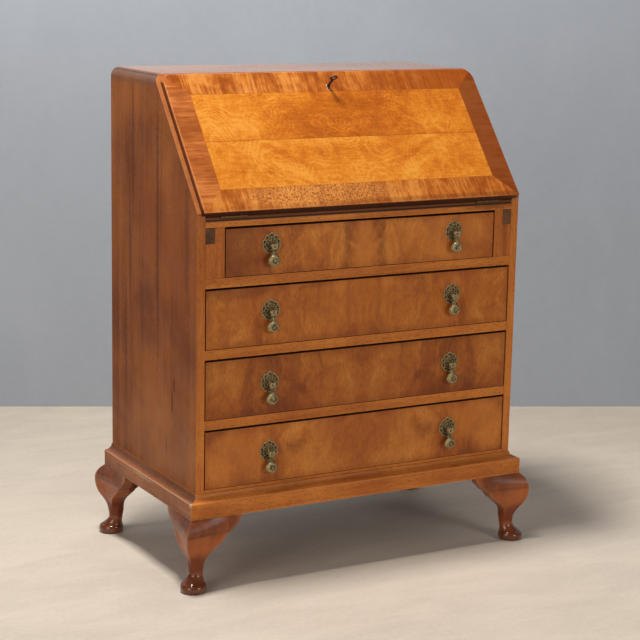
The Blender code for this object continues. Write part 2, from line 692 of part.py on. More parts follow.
def make_key(key_frame):
    """Shank, bit and oval bow, turned a quarter from where the key pulls out."""
    foot = LOCK_DEPTH - LOCK_CAVITY_DEPTH + FIT
    bow_foot = FALL_THICKNESS + KEY_REACH
    key = rod('key', KEY_SHANK_RADIUS, bow_foot - foot + KEY_BOW_ROD / 2, 12,
              key_frame @ Matrix.Translation((0, 0, foot)), 'dark iron')
    bit_z = (foot + FIT, foot + FIT + KEY_BIT_WIDTH)
    bit = block('key_bit', (0, KEY_BIT_LENGTH), (-KEY_BIT_THICKNESS / 2, KEY_BIT_THICKNESS / 2), bit_z,
                frame=key_frame)
    curve = bpy.data.curves.new('key_bow', 'CURVE')
    curve.dimensions = '3D'
    curve.bevel_depth = KEY_BOW_ROD
    curve.bevel_resolution = 2
    spline = curve.splines.new('POLY')
    count = 20
    spline.points.add(count - 1)
    for i, point in enumerate(spline.points):
        turn = math.tau * i / count
        point.co = (KEY_BOW_WIDTH / 2 * math.cos(turn), 0, KEY_BOW_LENGTH / 2 * math.sin(turn), 1)
    spline.use_cyclic_u = True
    bow = solid_from_curve('key_bow', curve, key_frame @ Matrix.Translation((0, 0, bow_foot + KEY_BOW_LENGTH / 2)))
    return join(key, bit, bow)


def make_hinges(fall_home, fall, bed):
    """Two leaf hinges let into the bed and the fall, with the pin on the bed's front arris."""
    half = HINGE_LENGTH / 2
    inner = HINGE_LENGTH / 6
    gap = KNUCKLE_RADIUS + KNUCKLE_CLEARANCE
    along_x = Matrix.Rotation(math.radians(90), 4, 'Y')
    for side, word in ((-1, 'left'), (1, 'right')):
        place = Matrix.Translation((side * (HALF_CASE - HINGE_INSET), 0, 0))
        case_frame = place @ Matrix.Translation((0, FRONT_Y, BED_Z))
        fall_frame = FALL_FRAME @ place
        case_name = word + '_hinge_case_leaf'
        fall_name = word + '_hinge_fall_leaf'

        def leaf(name, z, frame):
            return block(name, (FIT - half, half - FIT), (0, LEAF_WIDTH), z, 'aged brass', frame)

        def notch(name, start, end):
            return block(name, (start, end), (-gap, gap), (-gap, gap), frame=case_frame)

        def barrel(name, start, end, radius):
            return rod(name, radius, end - start, KNUCKLE_STEPS,
                       case_frame @ Matrix.Translation((start, 0, 0)) @ along_x)
        case_leaf = leaf(case_name, (-LEAF_THICKNESS, 0), case_frame)
        cut(case_leaf, notch(case_name + '_notch', -inner - 2 * FIT, inner + 2 * FIT))
        join(case_leaf, barrel(case_name + '_near', -half, -inner - FIT, KNUCKLE_RADIUS),
             barrel(case_name + '_far', inner + FIT, half, KNUCKLE_RADIUS))
        cut(case_leaf, barrel(case_name + '_bore', -half - OVERRUN, half + OVERRUN, HINGE_PIN_RADIUS + FIT))
        fall_leaf = leaf(fall_name, (0, LEAF_THICKNESS), fall_frame)
        for end in (-1, 1):
            start, stop = sorted((end * (inner - 2 * FIT), end * (half + OVERRUN)))
            turned_notch = notch(f'{fall_name}_notch_{end}', start, stop)
            turned_notch.matrix_world = fall_frame
            cut(fall_leaf, turned_notch)
        join(fall_leaf, barrel(fall_name + '_knuckle', FIT - inner, inner - FIT, KNUCKLE_RADIUS),
             barrel(fall_name + '_pin', -half, half, HINGE_PIN_RADIUS))
        hang(fall_home, fall_leaf)
        swing = barrel(word + '_knuckle_room', -half - FIT, half + FIT, gap)
        room = (-half - FIT, half + FIT)
        bed_seat = block(word + '_bed_seat', room, (-OVERRUN, LEAF_WIDTH + FIT), (-LEAF_THICKNESS - FIT, OVERRUN),
                         frame=case_frame)
        fall_seat = block(word + '_fall_seat', room, (-OVERRUN, LEAF_WIDTH + FIT), (-OVERRUN, LEAF_THICKNESS + FIT),
                          frame=fall_frame)
        cut(bed, bed_seat, swing)
        cut(fall, fall_seat, swing)


def tail_outlines(foot, height, count, root_y, clearance):
    """Dovetails in Y and Z, spread evenly up the end of a drawer side."""
    pitch = height / count
    outlines = []
    for i in range(count):
        middle = foot + pitch * (i + 0.5)
        root = pitch * TAIL_ROOT_SHARE / 2 + clearance
        end = pitch * TAIL_END_SHARE / 2 + clearance
        tip_y = root_y - TAIL_LENGTH - clearance
        inside_y = root_y + DRAWER_SIDE_THICKNESS / 2
        outlines.append([(inside_y, middle - root), (tip_y, middle - end), (tip_y, middle + end),
                         (inside_y, middle + root)])
    return outlines


def make_drawer(word, foot, opening, half_opening, tails, rise):
    """Front, box and bottom of one drawer, with its two handles."""
    half = half_opening - DRAWER_SIDE_GAP
    base = foot + FIT
    front_top = foot + opening - DRAWER_TOP_GAP
    shoulder = FRONT_Y + DRAWER_FRONT_THICKNESS
    home = pivot(word + '_slide', (0, FRONT_Y, (base + front_top) / 2))
    front = block(word + '_front', (-half, half), (FRONT_Y, shoulder), (base, front_top), 'figured walnut')
    outer = half - DRAWER_SIDE_INSET
    inside = outer - DRAWER_SIDE_THICKNESS
    rear = FRONT_Y + DRAWER_LENGTH
    side_height = front_top - DRAWER_SIDE_DROP - base
    near = shoulder + FIT
    outline = [(-outer, near), (-inside, near), (-inside, rear - DRAWER_SIDE_THICKNESS),
               (inside, rear - DRAWER_SIDE_THICKNESS), (inside, near), (outer, near), (outer, rear), (-outer, rear)]
    carcass = prism(word + '_box', [outline], side_height, Matrix.Translation((0, 0, base)), 'plain oak')
    for side in (-1, 1):
        start = inside if side > 0 else -outer
        for i, tail in enumerate(tail_outlines(base, side_height, tails, near, 0)):
            join(carcass, prism(f'{word}_tail_{side}_{i}', [tail], DRAWER_SIDE_THICKNESS, side_frame(start)))
        for i, socket in enumerate(tail_outlines(base, side_height, tails, near, FIT)):
            cut(front, prism(f'{word}_socket_{side}_{i}', [socket], DRAWER_SIDE_THICKNESS + 2 * FIT,
                             side_frame(start - FIT)))
    floor_z = base + DRAWER_BOTTOM_RISE
    floor_top = floor_z + DRAWER_BOTTOM_THICKNESS
    groove = inside + GROOVE_DEPTH
    tongue_y = shoulder - GROOVE_DEPTH
    block(word + '_bottom', (-groove, groove), (tongue_y, rear - FIT), (floor_z, floor_top), 'plain oak')
    slot_x = (-groove - FIT, groove + FIT)
    slot = block(word + '_groove', slot_x, (tongue_y - FIT, rear + OVERRUN), (floor_z - FIT, floor_top + FIT))
    under = block(word + '_back_gap', slot_x, (rear - DRAWER_SIDE_THICKNESS - FIT, rear + OVERRUN),
                  (base - OVERRUN, floor_top + FIT))
    cut(carcass, slot, under)
    cut(front, slot)
    hang(home, front, carcass, bpy.data.objects[word + '_bottom'])
    handle_z = foot + opening / 2 + rise
    for side, hand in ((-1, 'left'), (1, 'right')):
        make_handle(f'{word}_{hand}', side * (HALF_CASE - HANDLE_INSET), handle_z, home, front)


def plate_outline():
    """A scalloped round plate with a taller crest, drawn from the front."""
    count = PLATE_LOBES * PLATE_LOBE_POINTS
    points = []
    for i in range(count):
        turn = math.tau * i / count
        lobe = PLATE_LOBE_SHARE * math.cos(PLATE_LOBES * turn)
        crest = PLATE_CREST_SHARE * max(0, math.sin(turn)) ** PLATE_CREST_POWER
        radius = PLATE_RADIUS * (1 + lobe + crest)
        points.append((radius * math.cos(turn), radius * math.sin(turn)))
    return points


def make_handle(name, x, z, drawer_home, front):
    """A pierced plate on a bolt with an eye, and a pear drop hung from its crossbar."""
    centre = Matrix.Translation((x, FRONT_Y, z - POST_DROP))
    outward = Matrix.Rotation(math.radians(90), 4, 'X')
    ring = PLATE_RADIUS * PLATE_HOLE_RING_SHARE
    holes = []
    for i in range(PLATE_HOLES):
        turn = math.tau * (i + 0.5) / PLATE_HOLES
        holes.append(arc((ring * math.cos(turn), ring * math.sin(turn)), PLATE_HOLE_RADIUS, 0, 288, 4))
    rose = prism(name + '_rose', [plate_outline()] + holes, PLATE_THICKNESS,
                 centre @ Matrix.Translation((0, -FIT, POST_DROP)) @ outward)
    nut_y = DRAWER_FRONT_THICKNESS + FIT
    tail_y = nut_y + NUT_THICKNESS + POST_RADIUS
    plate = rod(name + '_plate', POST_RADIUS, tail_y + POST_REACH, 8,
                centre @ Matrix.Translation((0, tail_y, 0)) @ outward, 'aged brass')
    nut = rod(name + '_nut', NUT_RADIUS, NUT_THICKNESS, 6,
              centre @ Matrix.Translation((0, nut_y + NUT_THICKNESS, 0)) @ outward)
    across = Matrix.Rotation(math.radians(90), 4, 'Y')
    eye_centre = centre @ Matrix.Translation((0, -POST_REACH - (EYE_BORE + EYE_RADIUS) / 2, 0))

    def across_rod(part, radius, length, steps):
        return rod(name + part, radius, length, steps, eye_centre @ Matrix.Translation((-length / 2, 0, 0)) @ across)
    eye = across_rod('_eye', EYE_RADIUS, EYE_THICKNESS, 10)
    bore = across_rod('_bore', EYE_BORE, EYE_THICKNESS + OVERRUN, 8)
    cut(join(plate, eye, nut, rose), bore)
    cut(front, rod(name + '_hole', POST_RADIUS + FIT, DRAWER_FRONT_THICKNESS + 2 * OVERRUN, 8,
                   centre @ Matrix.Translation((0, DRAWER_FRONT_THICKNESS + OVERRUN, 0)) @ outward))
    profile = [(DROP_RADIUS * radius, -DROP_LENGTH * below) for below, radius in PEAR_SHARES]
    drop = turned(name + '_drop', profile, 12, eye_centre, 'aged brass', DROP_FLATTENING_SHARE)
    half_yoke = YOKE_WIDTH / 2
    half_slot = EYE_THICKNESS / 2 + YOKE_SLOT_CLEARANCE
    yoke_y = (-YOKE_THICKNESS / 2, YOKE_THICKNESS / 2)
    yoke_foot = -EYE_RADIUS - YOKE_SLOT_CLEARANCE
    yoke = block(name + '_yoke', (-half_yoke, half_yoke), yoke_y, (-YOKE_LENGTH, CROSSBAR_RADIUS), frame=eye_centre)
    slot = block(name + '_slot', (-half_slot, half_slot), (-EYE_RADIUS, EYE_RADIUS), (yoke_foot, EYE_RADIUS),
                 frame=eye_centre)
    join(cut(join(drop, yoke), slot), across_rod('_crossbar', CROSSBAR_RADIUS, YOKE_WIDTH - 2 * FIT, 8))
    hang(drawer_home, plate)
    hang(pivot(name + '_drop_axis', eye_centre.to_translation(), drawer_home), drop)


def grid_cells(half_width, foot, top, columns):
    """Openings of equal width between walls, from left to right."""
    cell = (2 * half_width - UNIT_WALL * (columns + 1)) / columns
    cells = []
    for i in range(columns):
        left = -half_width + UNIT_WALL + i * (cell + UNIT_WALL)
        cells.append((left, left + cell, foot, top))
    return cells


def make_desk_interior():
    """Pigeonholes over an open bay between two small drawers."""
    half = HALF_INNER - UNIT_CLEARANCE
    foot = BED_Z + FIT
    top = TOP_UNDER_Z - UNIT_CLEARANCE
    rear = BACK_PANEL_Y - FIT
    front_y = rear - UNIT_DEPTH
    shelf = foot + UNIT_WALL + UNIT_DRAWER_HEIGHT
    bays = grid_cells(half, foot + UNIT_WALL, shelf, UNIT_BAYS)
    cells = bays + grid_cells(half, shelf + UNIT_WALL, top - UNIT_WALL, UNIT_COLUMNS)
    outline = [(-half, foot), (half, foot), (half, top), (-half, top)]
    holes = [[(a, c), (b, c), (b, d), (a, d)] for a, b, c, d in cells]
    prism('pigeonhole_unit', [outline] + holes, UNIT_DEPTH, front_frame(rear), 'plain oak')
    for name, cell in (('left_small_drawer', bays[0]), ('right_small_drawer', bays[-1])):
        gap = SMALL_DRAWER_GAP
        wall = SMALL_DRAWER_WALL
        x = (cell[0] + gap, cell[1] - gap)
        y = (front_y, rear - SMALL_DRAWER_SETBACK)
        z = (cell[2] + FIT, cell[3] - gap)
        drawer = block(name, x, y, z, 'plain oak')
        hollow = block(name + '_hollow', (x[0] + wall, x[1] - wall), (y[0] + wall, y[1] - wall),
                       (z[0] + wall, z[1] + OVERRUN))
        middle = Matrix.Translation((sum(x) / 2, front_y, sum(z) / 2))
        profile = [(SMALL_KNOB_RADIUS * radius, SMALL_KNOB_LENGTH * (1 - along)) for radius, along in KNOB_SHARES]
        profile.append((0, profile[-1][1]))
        knob = turned(name + '_knob', profile, 12, middle @ Matrix.Rotation(math.radians(90), 4, 'X'))
        join(cut(drawer, hollow), knob)
        hang(pivot(name + '_slide', middle.to_translation()), drawer)


def make_bureau():
    top_board, bed = make_case()
    make_dustboards()
    make_plinth()
    make_legs()
    stile_x = make_lopers()
    fall_home, fall = make_fall(top_board)
    make_hinges(fall_home, fall, bed)
    for i in range(LOWER_DRAWERS):
        make_drawer(f'drawer_{i + 1}', BOTTOM_Z + i * LOWER_PITCH, LOWER_OPENING, HALF_INNER, LOWER_TAILS,
                    HANDLE_RISES[i])
    make_drawer('top_drawer', TOP_DRAWER_Z, TOP_OPENING, stile_x, TOP_TAILS, HANDLE_RISES[-1])
    make_desk_interior()


make_bureau()
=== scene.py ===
"""The look of a walnut writing bureau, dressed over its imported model."""

import json
import math

import bmesh
import bpy
from mathutils import Color, Matrix, Vector

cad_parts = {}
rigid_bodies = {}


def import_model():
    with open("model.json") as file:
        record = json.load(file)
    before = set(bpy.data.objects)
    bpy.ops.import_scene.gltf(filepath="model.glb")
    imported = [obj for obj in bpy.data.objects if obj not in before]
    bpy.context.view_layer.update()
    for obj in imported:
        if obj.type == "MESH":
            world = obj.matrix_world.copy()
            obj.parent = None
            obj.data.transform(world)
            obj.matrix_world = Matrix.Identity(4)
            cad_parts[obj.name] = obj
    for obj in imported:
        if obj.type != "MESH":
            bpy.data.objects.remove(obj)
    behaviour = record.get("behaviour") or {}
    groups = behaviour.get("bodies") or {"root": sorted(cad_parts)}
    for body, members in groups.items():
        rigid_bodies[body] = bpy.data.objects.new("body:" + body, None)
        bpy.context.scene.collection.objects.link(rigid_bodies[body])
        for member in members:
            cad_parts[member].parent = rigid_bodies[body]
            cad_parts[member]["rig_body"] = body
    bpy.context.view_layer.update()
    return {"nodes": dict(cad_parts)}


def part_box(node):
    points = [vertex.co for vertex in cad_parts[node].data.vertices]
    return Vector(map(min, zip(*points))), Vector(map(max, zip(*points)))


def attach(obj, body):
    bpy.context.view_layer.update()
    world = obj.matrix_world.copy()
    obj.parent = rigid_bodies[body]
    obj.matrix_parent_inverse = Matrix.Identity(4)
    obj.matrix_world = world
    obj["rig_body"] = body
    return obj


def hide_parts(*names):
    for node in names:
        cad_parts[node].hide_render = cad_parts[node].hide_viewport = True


for leftover in list(bpy.data.objects):
    bpy.data.objects.remove(leftover)
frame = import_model()

# Places and sizes in the row frame, in metres
FRONT_Y = -0.206
BED_Z = 0.757
BACK_Y = 0.225
HALF_CASE = 0.379
FALL_GAP_SHADOW_X = 0.3702
SLOPE = math.radians(50.6389)
FALL_ORIGIN = (0, FRONT_Y, BED_Z)
UP_THE_FALL = (0, math.cos(SLOPE), math.sin(SLOPE))
OUT_OF_THE_FALL = (0, -math.sin(SLOPE), math.cos(SLOPE))
FIELD_HALF = 0.321
FIELD_FOOT = 0.0505
FIELD_TOP = 0.2755
FIELD_JOINT = 0.162
LIP_HALF = 0.37
LIP_TOP = 0.3335
FALL_FACE = 0.02
HUGE = 10
X_AXIS, Y_AXIS, Z_AXIS = (1, 0, 0), (0, 1, 0), (0, 0, 1)


# Nodes of materials. Colours are given as they show, 0 to 255.

def shown(colour):
    """A display colour as the linear one that shaders use; a wire stays as it is."""
    if isinstance(colour, Wire):
        return colour
    return (*Color([value / 255 for value in colour]).from_srgb_to_scene_linear(), 1)


class Wire:
    """A node's output; arithmetic on it adds math nodes."""

    def __init__(self, socket):
        self.socket = socket

    def __add__(self, other):
        return calc("ADD", self, other)

    def __sub__(self, other):
        return calc("SUBTRACT", self, other)

    def __rsub__(self, other):
        return calc("SUBTRACT", other, self)

    def __mul__(self, other):
        return calc("MULTIPLY", self, other)

    def __truediv__(self, other):
        return calc("DIVIDE", self, other)

    def __gt__(self, other):
        return calc("GREATER_THAN", self, other)

    def __abs__(self):
        return calc("ABSOLUTE", self)

    __rmul__ = __mul__


def new_material(name):
    """A material, and the wire of each shaded point's place."""
    material = bpy.data.materials.new(name)
    material.use_nodes = True
    material.node_tree.nodes.clear()
    return material, Wire(material.node_tree.nodes.new("ShaderNodeTexCoord").outputs["Object"])


def wire(kind, inputs, output=0, **settings):
    """An output of a new node, made where the wires among its inputs come from."""
    pairs = list(inputs.items() if isinstance(inputs, dict) else enumerate(inputs))
    tree = next(value.socket.id_data for _, value in pairs if isinstance(value, Wire))
    node = tree.nodes.new(kind)
    for name, value in settings.items():
        setattr(node, name, value)
    for key, value in pairs:
        if isinstance(value, Wire):
            tree.links.new(value.socket, node.inputs[key])
        else:
            node.inputs[key].default_value = value
    return Wire(node.outputs[output])


def calc(operation, *values):
    return wire("ShaderNodeMath", values, operation=operation)


def vector(operation, *values):
    output = "Value" if operation in ("DOT_PRODUCT", "LENGTH") else "Vector"
    return wire("ShaderNodeVectorMath", values, output, operation=operation)


def parts(place):
    return [wire("ShaderNodeSeparateXYZ", (place,), i) for i in range(3)]


def at(x, y, z=0):
    return wire("ShaderNodeCombineXYZ", (x, y, z))


def hypot(across, up):
    """How far a flat place is from nought."""
    return vector("LENGTH", at(across, up))


def noise(place, scale, detail=2, roughness=0.5, distortion=0, stretch=None):
    if stretch:
        place = vector("MULTIPLY", place, stretch)
    return wire("ShaderNodeTexNoise", {"Vector": place, "Scale": scale, "Detail": detail,
                                       "Roughness": roughness, "Distortion": distortion})


def centred(value, reach):
    """A noise value as a shift of up to reach either way."""
    return (value - 0.5) * (2 * reach)


def geometry(beside, output):
    """What the geometry says in the material of another wire."""
    return Wire(beside.socket.id_data.nodes.new("ShaderNodeNewGeometry").outputs[output])


def ramp(value, *stops):
    result = wire("ShaderNodeValToRGB", (value,))
    elements = result.socket.node.color_ramp.elements
    while len(elements) < len(stops):
        elements.new(0.5)
    for element, (position, colour) in zip(elements, stops):
        element.position = position
        element.color = shown(colour)
    return result


def mix(share, first, second):
    return wire("ShaderNodeMix", {0: share, 6: shown(first), 7: shown(second)}, 2, data_type="RGBA")


def layered(colour, *layers):
    """The colour with others laid over it in turn, each by its share."""
    for share, other in layers:
        colour = mix(share, colour, other)
    return colour


def span(value, low, high, to_low=0, to_high=1):
    """value between low and high, smoothly, as to_low to to_high."""
    return wire("ShaderNodeMapRange", (value, low, high, to_low, to_high), interpolation_type="SMOOTHSTEP")


def fade(value, low, high, most=1):
    """Falls smoothly from most to nought as value goes from low to high."""
    return span(value, low, high, most, 0)


def waves(value, turns, low):
    """Fine lines where the sine of so many times the value is above low."""
    return span(calc("SINE", value * turns), low, 1)


def nearest_edge(distances):
    """The second smallest of the distances to a solid's faces, which is how far its nearest edge is."""
    first, second = distances[0], HUGE
    for distance in distances[1:]:
        larger = calc("MAXIMUM", first, distance)
        first = calc("MINIMUM", first, distance)
        second = calc("MINIMUM", second, larger)
    return second


def box_edge(place, low, high):
    """How far the nearest edge of a box is."""
    distances = []
    for value, start, end in zip(parts(place), low, high):
        distances += [abs(value - start), abs(value - end)]
    return nearest_edge(distances)


def spotted(colour, place, spots):
    """The colour with soft spots on it: each one's centre, half sizes, colour, share and uneven border."""
    for centre, half, spot_colour, share, wobble in spots:
        away = vector("LENGTH", vector("DIVIDE", vector("SUBTRACT", place, centre), half))
        if wobble:
            away = away + centred(noise(place, 0.7 / min(half), 3), wobble)
        colour = mix(fade(away, 0.5, 1.5, share), colour, spot_colour)
    return colour


def bump(height, distance, strength, under=None):
    inputs = {"Height": height, "Distance": distance, "Strength": strength}
    if under:
        inputs["Normal"] = under
    return wire("ShaderNodeBump", inputs)


def finish(material, colour, roughness, normal, metallic=0, coat=0, coat_roughness=0.2, specular=0.5,
           one_sided=False):
    surface = wire("ShaderNodeBsdfPrincipled", {
        "Base Color": colour, "Roughness": roughness, "Normal": normal, "Metallic": metallic,
        "Coat Weight": coat, "Coat Roughness": coat_roughness, "Specular IOR Level": specular})
    if one_sided:
        clear = Wire(material.node_tree.nodes.new("ShaderNodeBsdfTransparent").outputs[0])
        surface = wire("ShaderNodeMixShader", (geometry(colour, "Backfacing"), surface, clear))
    output = material.node_tree.nodes.new("ShaderNodeOutputMaterial")
    material.node_tree.links.new(surface.socket, output.inputs["Surface"])
    return material


# Wood colours, light and dark
RAIL = ((219, 135, 57), (164, 89, 37))
HOUSING = ((203, 118, 50), (145, 76, 32))
SIDE = ((176, 104, 50), (110, 56, 27))
PLINTH_SIDE = ((178, 112, 70), (112, 66, 42))
TOP = ((202, 140, 92), (160, 100, 60))
LEG = ((172, 92, 42), (78, 34, 17))
INSIDE = ((186, 114, 60), (134, 78, 40))
OAK = ((186, 138, 86), (132, 90, 52))
END = ((116, 80, 52), (62, 40, 26))
EDGE = ((124, 74, 42), (76, 44, 25))
# Painted shade: very dark wood for faces in gaps and under boards
GAP_SHADE = ((50, 27, 16), (24, 12, 8))
DUST_AND_SHADE = ((58, 36, 22), (30, 18, 12))

# Scale of the grain and of the pores along each axis, for each way that the grain runs
GRAIN_SHARES = {"x": (0.045, 1, 1), "y": (1, 0.045, 1), "z": (1, 1, 0.045)}
PORE_SHARES = {"x": (0.11, 1, 1), "y": (1, 0.11, 1), "z": (1, 1, 0.11)}


def grain_layers(place, along, seed):
    """Fine fibre, streaks, bands and broad clouds of a board whose grain runs along one axis."""
    moved = vector("ADD", place, (seed * 1.37, seed * 2.11, seed * 0.83))
    wander = centred(noise(moved, 5, 1), 0.006)
    bent = vector("ADD", moved, at(wander, wander, wander))
    long = vector("MULTIPLY", bent, GRAIN_SHARES[along])
    fibre = noise(long, 620)
    streak = noise(long, 70, 5, 0.62, 0.5)
    band = noise(long, 17, 3, 0.5, 0.8)
    cloud = noise(bent, 6, 3)
    return fibre, streak, band, cloud


def wood(name, colours, along, seed, box=None, gloss=0.38, streaks=0.36, bands=0.3, clouds=0.22,
         wear_colour=None, wear_width=0.004, coat=0.05, red=0.25, specular=0.15, coat_roughness=0.2,
         spots=(), rubbed=0):
    """Polished wood with pores and spots, rubbed at its box's edges and on its ridges."""
    material, place = new_material(name)
    light, dark = colours
    fibre, streak, band, cloud = grain_layers(place, along, seed)
    mixed = streaks * streak + bands * band + clouds * cloud + (1 - streaks - bands - clouds) * fibre
    warm = span(noise(place, 9), 0.4, 0.68, 0, red)
    pore = span(noise(place, 1100, 0, stretch=PORE_SHARES[along]), 0.62, 0.74)
    colour = layered(dark, (span(mixed, 0.34, 0.66), light), (warm, (150, 62, 26)),
                     (0.45 * pore, (46, 22, 12)))
    rough = span(noise(place, 22, 3), 0.3, 0.7, gloss - 0.06, gloss + 0.1) + 0.15 * pore
    if box:
        near = box_edge(place, *box) + noise(place, 120, 3) * (wear_width * 1.6)
        lighter_arris = fade(near, wear_width * 0.75, wear_width * 1.5)
        colour = mix(0.55 * lighter_arris, colour, wear_colour or light)
        rough = rough + 0.1 * lighter_arris
    colour = spotted(colour, place, spots)
    if rubbed:
        ridge = span(geometry(place, "Pointiness"), 0.53, 0.6, 0, rubbed)
        colour = mix(ridge, colour, wear_colour or light)
    fine = bump(0.6 * fibre - 0.9 * pore, 0.00012, 0.5)
    normal = bump(noise(place, 30), 0.0006, 0.25, fine)
    return finish(material, colour, rough, normal, coat=coat, coat_roughness=coat_roughness,
                  specular=specular)


def drawer_veneer(name, seed, box, depth, dark, spots):
    """Mottled veneer, mirrored about the middle of the front and darkened by depth.

    dark is where a dark cloud lies on either side of the middle, across and up, and its half sizes."""
    material, place = new_material(name)
    dark_x, dark_z, dark_wide, dark_tall = dark
    x, y, z = parts(place)
    half_x = abs(x)
    drift = centred(noise(place, 6, 1), 0.012)
    mirrored = at(half_x + drift, y, z)
    fibre, streak, band, cloud = grain_layers(mirrored, "z", seed)
    moved = vector("ADD", mirrored, (seed * 3.1, seed * 0.7, seed * 1.9))
    swirl = centred(noise(moved, 9), 0.05)
    swirled = vector("ADD", moved, at(swirl, 0, 0.8 * swirl))
    curl = noise(swirled, 30, 5, 0.6, 0.8, (1, 1, 0.6))
    smoke = noise(swirled, 9, 3, 0.5, 0.6, (1, 1, 0.6))
    mixed = 0.08 * streak + 0.12 * band + 0.22 * cloud + 0.26 * curl + 0.26 * smoke + 0.06 * fibre
    colour = ramp(span(mixed, 0.37, 0.62), (0, (138, 69, 30)), (0.4, (180, 102, 41)),
                  (0.75, (202, 120, 47)), (1, (218, 140, 62)))
    away = hypot((half_x - dark_x) / dark_wide, (z - dark_z) / dark_tall) + centred(curl, 1.4)
    grit = noise(place, 230, 3, 0.65, stretch=(1, 1, 0.45))
    warm = span(noise(moved, 10), 0.42, 0.7, 0, 0.4)
    pore = span(noise(place, 1000, 0, stretch=(1, 1, 0.12)), 0.62, 0.74)
    near = box_edge(place, *box)
    colour = layered(colour, (fade(away, 0.1, 1.4, 0.52), (98, 50, 27)),
                     (span(grit, 0.42, 0.68, 0, 0.22), (112, 54, 22)),
                     (fade(grit, 0.32, 0.46, 0.11), (230, 152, 74)),
                     (warm, (160, 76, 30)), (0.35 * pore, (60, 28, 14)),
                     (fade(near + 0.016 * curl, 0.008, 0.03, 0.3), (104, 48, 22)),
                     (fade(near + 0.003 * smoke, 0.0014, 0.0032, 0.5), (182, 116, 66)),
                     (depth, (96, 44, 20)))
    colour = spotted(colour, place, spots)
    rough = span(noise(place, 20, 3), 0.3, 0.7, 0.3, 0.46)
    fine = bump(0.5 * fibre - 0.8 * pore, 0.00012, 0.5)
    normal = bump(noise(place, 26), 0.0007, 0.3, fine)
    return finish(material, colour, rough, normal, coat=0.05, specular=0.18)


def fall_field(flat, x, half_x, above, mottle):
    """Four matched leaves of figured veneer, with growth rings about the middle of their joint."""
    half_up = abs(above)
    upper = above > 0
    drift = centred(noise(flat, 7), 0.014)
    folded = at(half_x + drift, half_up + drift, 0.06 * upper)

    ring = hypot(0.72 * half_x, half_up - 0.036 * upper) + 0.05 * noise(folded, 16, 3)
    rings = waves(ring, 820, 0.1) * fade(ring, 0.045, 0.095)
    arch = hypot(half_x - 0.215, half_up - 0.06) + 0.034 * noise(folded, 11)
    arch_here = span(arch, 0.055, 0.085) * fade(arch, 0.1, 0.13)
    arches = waves(arch, 760, 0.2) * arch_here * span(half_x, 0.1, 0.2, 1, 0.25)
    contours = waves(noise(folded, 5.5, 2, 0.4), 210, 0)
    contours = contours * span(noise(flat, 9), 0.4, 0.62)
    lines = rings + arches + contours

    fan_x = half_x - 0.255
    fan_turn = calc("ARCTAN2", half_up + 0.01, fan_x)
    fan_far = hypot(fan_x, half_up)
    fan_place = at(0.17 * fan_turn, 0.35 * fan_far, 0.05 * upper)
    fan = (noise(fan_place, 30, 5, 0.62, 0.6) - 0.5) * span(fan_far, 0.01, 0.09, 0.25, 1) + 0.5
    curl = noise(folded, 26, 5, 0.62, 1)
    broad = noise(folded, 8, 3, 0.5, 0.5)
    grit = noise(flat, 190, 3, 0.65)
    fibres = noise(flat, 330, 2, 0.6, stretch=(0.1, 1, 1))

    # Darker above the joint, at the heart, over the right of the key, at the far right and along the joint
    shade = fade(hypot((half_x + centred(broad, 0.1)) / 0.215, (above - 0.055) / 0.11), 0.35, 1.25, 0.13)
    shade = shade + fade(hypot(x / 0.075, (above - 0.045) / 0.045), 0.1, 1.1, 0.05)
    shade = shade + fade(hypot((x - 0.065) / 0.15, (above - 0.112) / 0.045), 0.3, 1.2, 0.13)
    shade = shade + span(x, 0.08, 0.28) * span(above, -0.02, 0.05, 0.02, 0.08)
    shade = shade + upper * fade(half_up, 0, 0.03, 0.1) * (fan + 0.1)
    # A wedge that opens from the joint to the sides, its streak, and a pale place under the joint
    ray = half_up - 0.52 * (0.228 - half_x) + centred(noise(flat, 24, 3), 0.016)
    inner = fade(ray, -0.016, 0.004) * span(half_x, 0.1, 0.15)
    streak = fade(abs(ray), 0.001, 0.014) * span(half_x, 0.06, 0.14)
    pale = fade(half_up, 0.004, 0.036) * fade(abs(x + 0.02), 0.08, 0.14)
    shade = shade + upper * (0.075 * inner + 0.05 * streak) + (1 - upper) * (0.09 * streak - 0.19 * pale)

    mixed = 0.27 * fan + 0.3 * curl + 0.28 * broad + 0.19 * mottle + 0.0675 * lines
    mixed = mixed + 0.26 * grit + 0.2 * fibres - 0.23 - shade
    colour = ramp(span(mixed, 0.16, 0.7), (0, (150, 72, 20)), (0.38, (184, 99, 28)),
                  (0.72, (206, 122, 36)), (1, (222, 148, 58)))
    return mix(fade(half_up, 0.0003, 0.0012, 0.55), colour, (120, 58, 22))


def side_bands(flat, x, up):
    """Crossbanding up the field's sides, in pieces laid one above another, redder on the right."""
    streak = noise(flat, 120, 5, 0.6, 0.4, (0.07, 1, 1))
    fine = noise(flat, 360, 2, 0.6, stretch=(0.07, 1, 1))
    piece = at(calc("SIGN", x), calc("FLOOR", 9 * up + 0.35))
    mixed = 0.34 * streak + 0.26 * noise(piece, 3.7, 0) + 0.4 * noise(flat, 18, 4) + 0.26 * fine
    colour = ramp(span(mixed - 0.13, 0.36, 0.64), (0, (146, 76, 33)), (0.5, (178, 100, 46)),
                  (1, (206, 126, 64)))
    return mix(0.8 * (x > 0), colour, (112, 48, 15))


